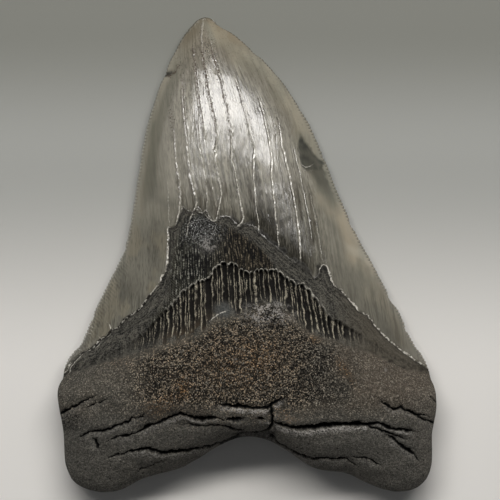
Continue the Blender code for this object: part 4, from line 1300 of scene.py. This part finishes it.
    # the pale line along the enamel's end is added to it
    lip_highlight_and_end_line = n.math("MAXIMUM", lip_highlight_and_end_line, n.mul(
        worn, n.line(n.plus(edge_line, -0.10), 0.22, 0.06), n.band(brink, 0.44, 0.58)))
    stitch = n.mul(n.line(n.plus(edge_line, -0.05), 0.46, 0.22), n.band(brink, 0.52, 0.46),
                   n.band(flow_x, -23.5, -25.0), n.band(flow_x, -46.0, -40.0, 0.3, 1.0))
    # pale ridges of the comb: their own paler tone, with a painted highlight along each crest
    saw = n.math("SUBTRACT", phase, n.math("ROUND", phase))
    half = n.math("SUBTRACT", n.plus(phase, 0.5), n.math("ROUND", n.plus(phase, 0.5)))
    worn_ridge = n.noise(n.pair(n.mul(phase, 0.83), n.mul(flow_y, 0.38)), 1.0, 3.0, 0.7)
    worn_half = n.noise(n.pair(n.mul(phase, 0.71), n.mul(flow_y, 0.16)), 1.0, 2.0, 0.6)
    thin = n.plus(n.mul(n.plus(worn_ridge, -0.5), 0.30), 0.135)
    ridges = n.mul(comb, n.line(n.plus(saw, n.mul(ragged, 0.40)), thin, n.mul(thin, 0.3)),
                   n.band(worn_ridge, 0.36, 0.58, 0.06, 1.0), n.band(sparse, 0.34, 0.54, 0.30, 1.0))
    ridges = n.math("MAXIMUM", n.mul(ridges, n.plus(n.mul(film, -1.0), 1.0)), n.mul(
        comb, n.line(n.plus(half, n.mul(ragged, 0.36), n.mul(worn_half, 0.50), -0.25), 0.12, 0.03),
        n.band(worn_half, 0.50, 0.62, 0.0, 0.8), n.band(sparse, 0.34, 0.54, 0.2, 1.0)))
    # painted shade inside each root crack, and a painted highlight along its lower lip
    core = n.band(n.plus(cleft, n.mul(ragged, 0.40)), 0.10, -0.06)
    rim = n.mul(rim_lit, n.band(n.plus(cleft, n.mul(ragged, 0.8)), 0.10, 0.30),
                n.band(n.plus(cleft, n.mul(ragged, 3.0), n.mul(n.plus(clump, -0.5), 2.4)), 2.2, 1.0))
    # painted highlight along the edge of the comb's lip
    lip = n.mul(n.line(n.plus(lip_line, n.mul(ragged, 0.30), -0.24), 0.25, 0.07), neck, n.band(brink, 0.33, 0.55),
                n.band(sparse, 0.34, 0.52, 0.45, 1.0),
                n.band(flow_x, -24.0, -15.0), n.band(flow_x, 24.0, 14.0))
    # painted glints: pale specks on the crumbs where the neck sparkles
    glitter = n.mul(spark, n.band(crumbs, 0.51, 0.57))
    # the serrations: painted shade in the notches between them, and a painted highlight along the cutting edge
    tick = n.math("SUBTRACT", teeth, n.math("ROUND", teeth))
    notch = n.mul(beads, n.line(n.plus(tick, n.mul(ragged, 0.25)), 0.34, 0.12), n.band(inside, 1.25, 0.55),
                  n.band(brink, 0.32, 0.50, 0.35, 1.0), n.band(flow_y, 48.0, 41.0, 0.12, 1.0))
    bead = n.mul(beads, n.band(inside, 1.0, 0.35), n.band(brink, 0.40, 0.58, 0.25, 0.8))

    col = n.mix(enamel, n.mix(root, n_col, r_col), e_col)
    # painted highlight along the cutting edge, brighter on the left side
    col = n.mix(n.mul(bead, n.band(flow_y, 48.0, 41.0, 0.2, 1.0)), col,
                n.mix(n.band(flow_x, 2.0, -2.0), (0.30, 0.280, 0.215), (0.50, 0.485, 0.42)))
    col = n.mix(n.mul(enamel, n.band(inside, 0.50, 0.10), n.band(flow_y, 34.0, 46.0, 0.15, 0.75)), col,
                (0.075, 0.072, 0.055))
    # painted shade in the serration notches
    col = n.mix(n.mul(notch, n.band(flow_x, -2.0, 2.0, 0.58, 0.62)), col, (0.050, 0.046, 0.036))
    # dark: the cracks, pits and flaw, with painted shade under the enamel's end, in the comb, in the neck's wings and
    # on the boss
    col = n.mix(n.mul(dark, 0.93), col, (0.004, 0.0035, 0.003))
    # the cracks' dark lines: their own filling, and painted shade along one wall
    col = n.mix(n.mul(gap, 0.92), col, n.mix(upper, (0.020, 0.013, 0.009), (0.050, 0.026, 0.016)))
    col = n.mix(n.mul(nick, 0.85), col, (0.030, 0.018, 0.012))
    col = n.mix(n.mul(spark, n.band(crumbs, 0.49, 0.42), 0.9), col, (0.003, 0.003, 0.003))
    # the comb's pale ridges, partly a painted highlight on their crests
    col = n.mix(n.mul(ridges, 0.85), col, (0.50, 0.455, 0.35))
    # painted highlight on the comb's lip
    col = n.mix(n.mul(lip, 0.92), col, (0.62, 0.59, 0.51))
    # painted highlight along the cracks' lips, with the pale line along the enamel's end
    col = n.mix(n.mul(lip_highlight_and_end_line, 0.90), col, (0.68, 0.65, 0.57))
    # pale specks on the root, and on the flat face the painted highlights of its enamel edge and grooves
    col = n.mix(n.mul(pale, 0.8), col, (0.34, 0.32, 0.29))
    col = n.mix(n.mul(stitch, 0.92), col, (0.006, 0.005, 0.004))
    # painted glints
    col = n.mix(n.mul(glitter, 0.85), col, (0.60, 0.57, 0.53))
    # painted highlight on the root cracks' lower lips, then painted shade inside them
    col = n.mix(n.mul(rim, n.band(grit, 0.42, 0.56), 0.92), col, (0.41, 0.39, 0.36))
    col = n.mix(core, col, (0.002, 0.002, 0.0018))
    n.put(bsdf.inputs["Base Color"], col)

    # ---- gloss: a clear coat on the enamel, none on the root and neck
    hollow = n.math("MAXIMUM", n.math("MAXIMUM", dark, stitch), n.math("MAXIMUM", gap, core))
    hollow = n.math("MAXIMUM", hollow, n.mul(nick, 0.85))
    coat = n.mul(enamel, n.plus(n.mul(hollow, -0.95), 1.0), n.plus(n.mul(stain, -0.45), 1.0))
    n.put(bsdf.inputs["Coat Weight"], coat)
    bsdf.inputs["Coat Roughness"].default_value = 0.15
    e_rough = n.plus(n.mul(streak, 0.10), n.mul(margin, 0.04), 0.11)
    n_rough = n.plus(n.mul(thread, centre, -0.35), n.mul(spark, -0.20), 0.90)
    r_rough = n.plus(n.mul(bright, -0.30), n.mul(soot, 0.08), n.mul(grain, 0.08), 0.84)
    rough = n.plus(n.mul(enamel, e_rough), n.mul(neck, n_rough), n.mul(root, r_rough))
    rough = n.math("MAXIMUM", rough, n.mul(hollow, 0.98))
    n.put(bsdf.inputs["Roughness"], rough)
    bsdf.inputs["IOR"].default_value = 1.36

    # ---- relief too fine for the mesh, in mm of the drawing
    relief = n.plus(
        n.mul(enamel, n.mul(n.plus(fine, -0.5), n.plus(n.mul(middle, 0.026), 0.006))),
        n.mul(neck, centre, n.plus(n.mul(n.plus(stripe, -0.5), 0.70), n.mul(thread, 0.10))),
        n.mul(knit, n.band(small_d, 0.6, 0.1), 0.14),
        n.mul(neck, n.plus(n.mul(n.plus(dust, -0.5), 0.18), n.mul(n.plus(strand, -0.5), 0.30))),
        n.mul(spark, n.mul(n.plus(crumbs, -0.5), 0.9)),
        n.mul(root, n.band(grain_d, 0.7, 0.1), n.plus(n.mul(grain, 0.10), 0.05)),
        n.mul(root, n.plus(grit, -0.5), n.plus(n.mul(grain, 0.80), 0.38)),
    )
    bump = n.add("ShaderNodeBump")
    bump.inputs["Strength"].default_value = 1.0
    bump.inputs["Distance"].default_value = MM
    n.put(bump.inputs["Height"], relief)
    n.put(bsdf.inputs["Normal"], bump.outputs[0])
    n.put(bsdf.inputs["Coat Normal"], bump.outputs[0])
    return mat


def floor_material():
    """A studio sweep: pale in front, with painted shade that makes it greyer behind."""
    mat = bpy.data.materials.new("pale_floor")
    mat.use_nodes = True
    bsdf = mat.node_tree.nodes["Principled BSDF"]
    n = Nodes(mat.node_tree)
    split = n.add("ShaderNodeSeparateXYZ")
    n.put(split.inputs[0], n.add("ShaderNodeTexCoord").outputs["Object"])
    y = split.outputs[1]
    # painted shade: the floor's colour darkens towards the back, and more at the far back
    tone = n.mix(n.band(y, 0.028 * REAL, -0.040 * REAL), (0.338, 0.342, 0.322), (0.745, 0.730, 0.698))
    tone = n.mix(n.band(y, 0.030 * REAL, 0.068 * REAL), tone, (0.200, 0.203, 0.180))
    n.put(bsdf.inputs["Base Color"], tone)
    bsdf.inputs["Roughness"].default_value = 0.7
    return mat


# ================================================================ scene
def area_light(name, at, aim, size, radiance, colour=(1, 1, 1), turn=0.0):
    """A flat light; places and sizes are for the drawing, turn is in degrees about its axis."""
    data = bpy.data.lights.new(name, "AREA")
    data.shape = "RECTANGLE"
    data.size, data.size_y = size[0] * REAL, size[1] * REAL
    data.energy = radiance * math.pi * data.size * data.size_y
    data.color = colour
    lamp = bpy.data.objects.new(name, data)
    bpy.context.scene.collection.objects.link(lamp)
    lamp.location = Vector(at) * REAL
    facing = (Vector(aim) - Vector(at)).to_track_quat("-Z", "Y")
    lamp.rotation_euler = (facing @ Quaternion((0, 0, 1), math.radians(turn))).to_euler()
    return lamp


def build_scene():
    scene = bpy.context.scene
    tooth = bpy.data.objects.new("fossil_tooth", build_tooth())
    scene.collection.objects.link(tooth)
    tooth.data.materials.clear()
    tooth.data.materials.append(tooth_material())
    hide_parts("tooth")
    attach(tooth, "root")

    bpy.ops.mesh.primitive_plane_add(size=6.0, location=(0, 0, 0))
    floor = bpy.context.object
    floor.name = "floor"
    floor.data.materials.append(floor_material())

    world = bpy.data.worlds.new("studio")
    scene.world = world
    world.use_nodes = True
    world.node_tree.nodes["Background"].inputs[0].default_value = (0.95, 0.97, 1.0, 1)
    world.node_tree.nodes["Background"].inputs[1].default_value = 0.09

    # a long tube behind its diffuser: a bright core and a softer edge
    area_light("key", (0.05, 0.490, 0.88), (0.05, 0.035, 0.012), (1.25, 0.17), 10.5, (1.0, 0.975, 0.945), 6.0)
    area_light("glow", (0.05, 0.500, 0.89), (0.05, 0.035, 0.012), (1.60, 0.27), 2.5, (1.0, 0.98, 0.96), 6.0)
    top = area_light("top", (-0.10, 0.85, 0.66), (0.0, 0.0, 0.01), (0.7, 0.3), 3.8, (0.97, 0.98, 1.0))
    top.visible_glossy = False
    front = area_light("front", (0.0, -0.75, 0.75), (0.0, 0.0, 0.01), (0.8, 0.3), 0.12, (0.98, 0.99, 1.0))
    front.visible_glossy = False

    cam_data = bpy.data.cameras.new("camera")
    cam = bpy.data.objects.new("camera", cam_data)
    scene.collection.objects.link(cam)
    height = 1.60 * REAL
    cam.location = ((250 - CX) * SQ * MM, (CY - 250) * SQ * MM, height)
    cam.rotation_euler = (0, 0, 0)
    cam_data.sensor_width = 36.0
    cam_data.lens = 36.0 * (height - 0.005 * REAL) / (500 * SQ * MM)
    scene.camera = cam
    scene.view_settings.view_transform = "Standard"


build_scene()
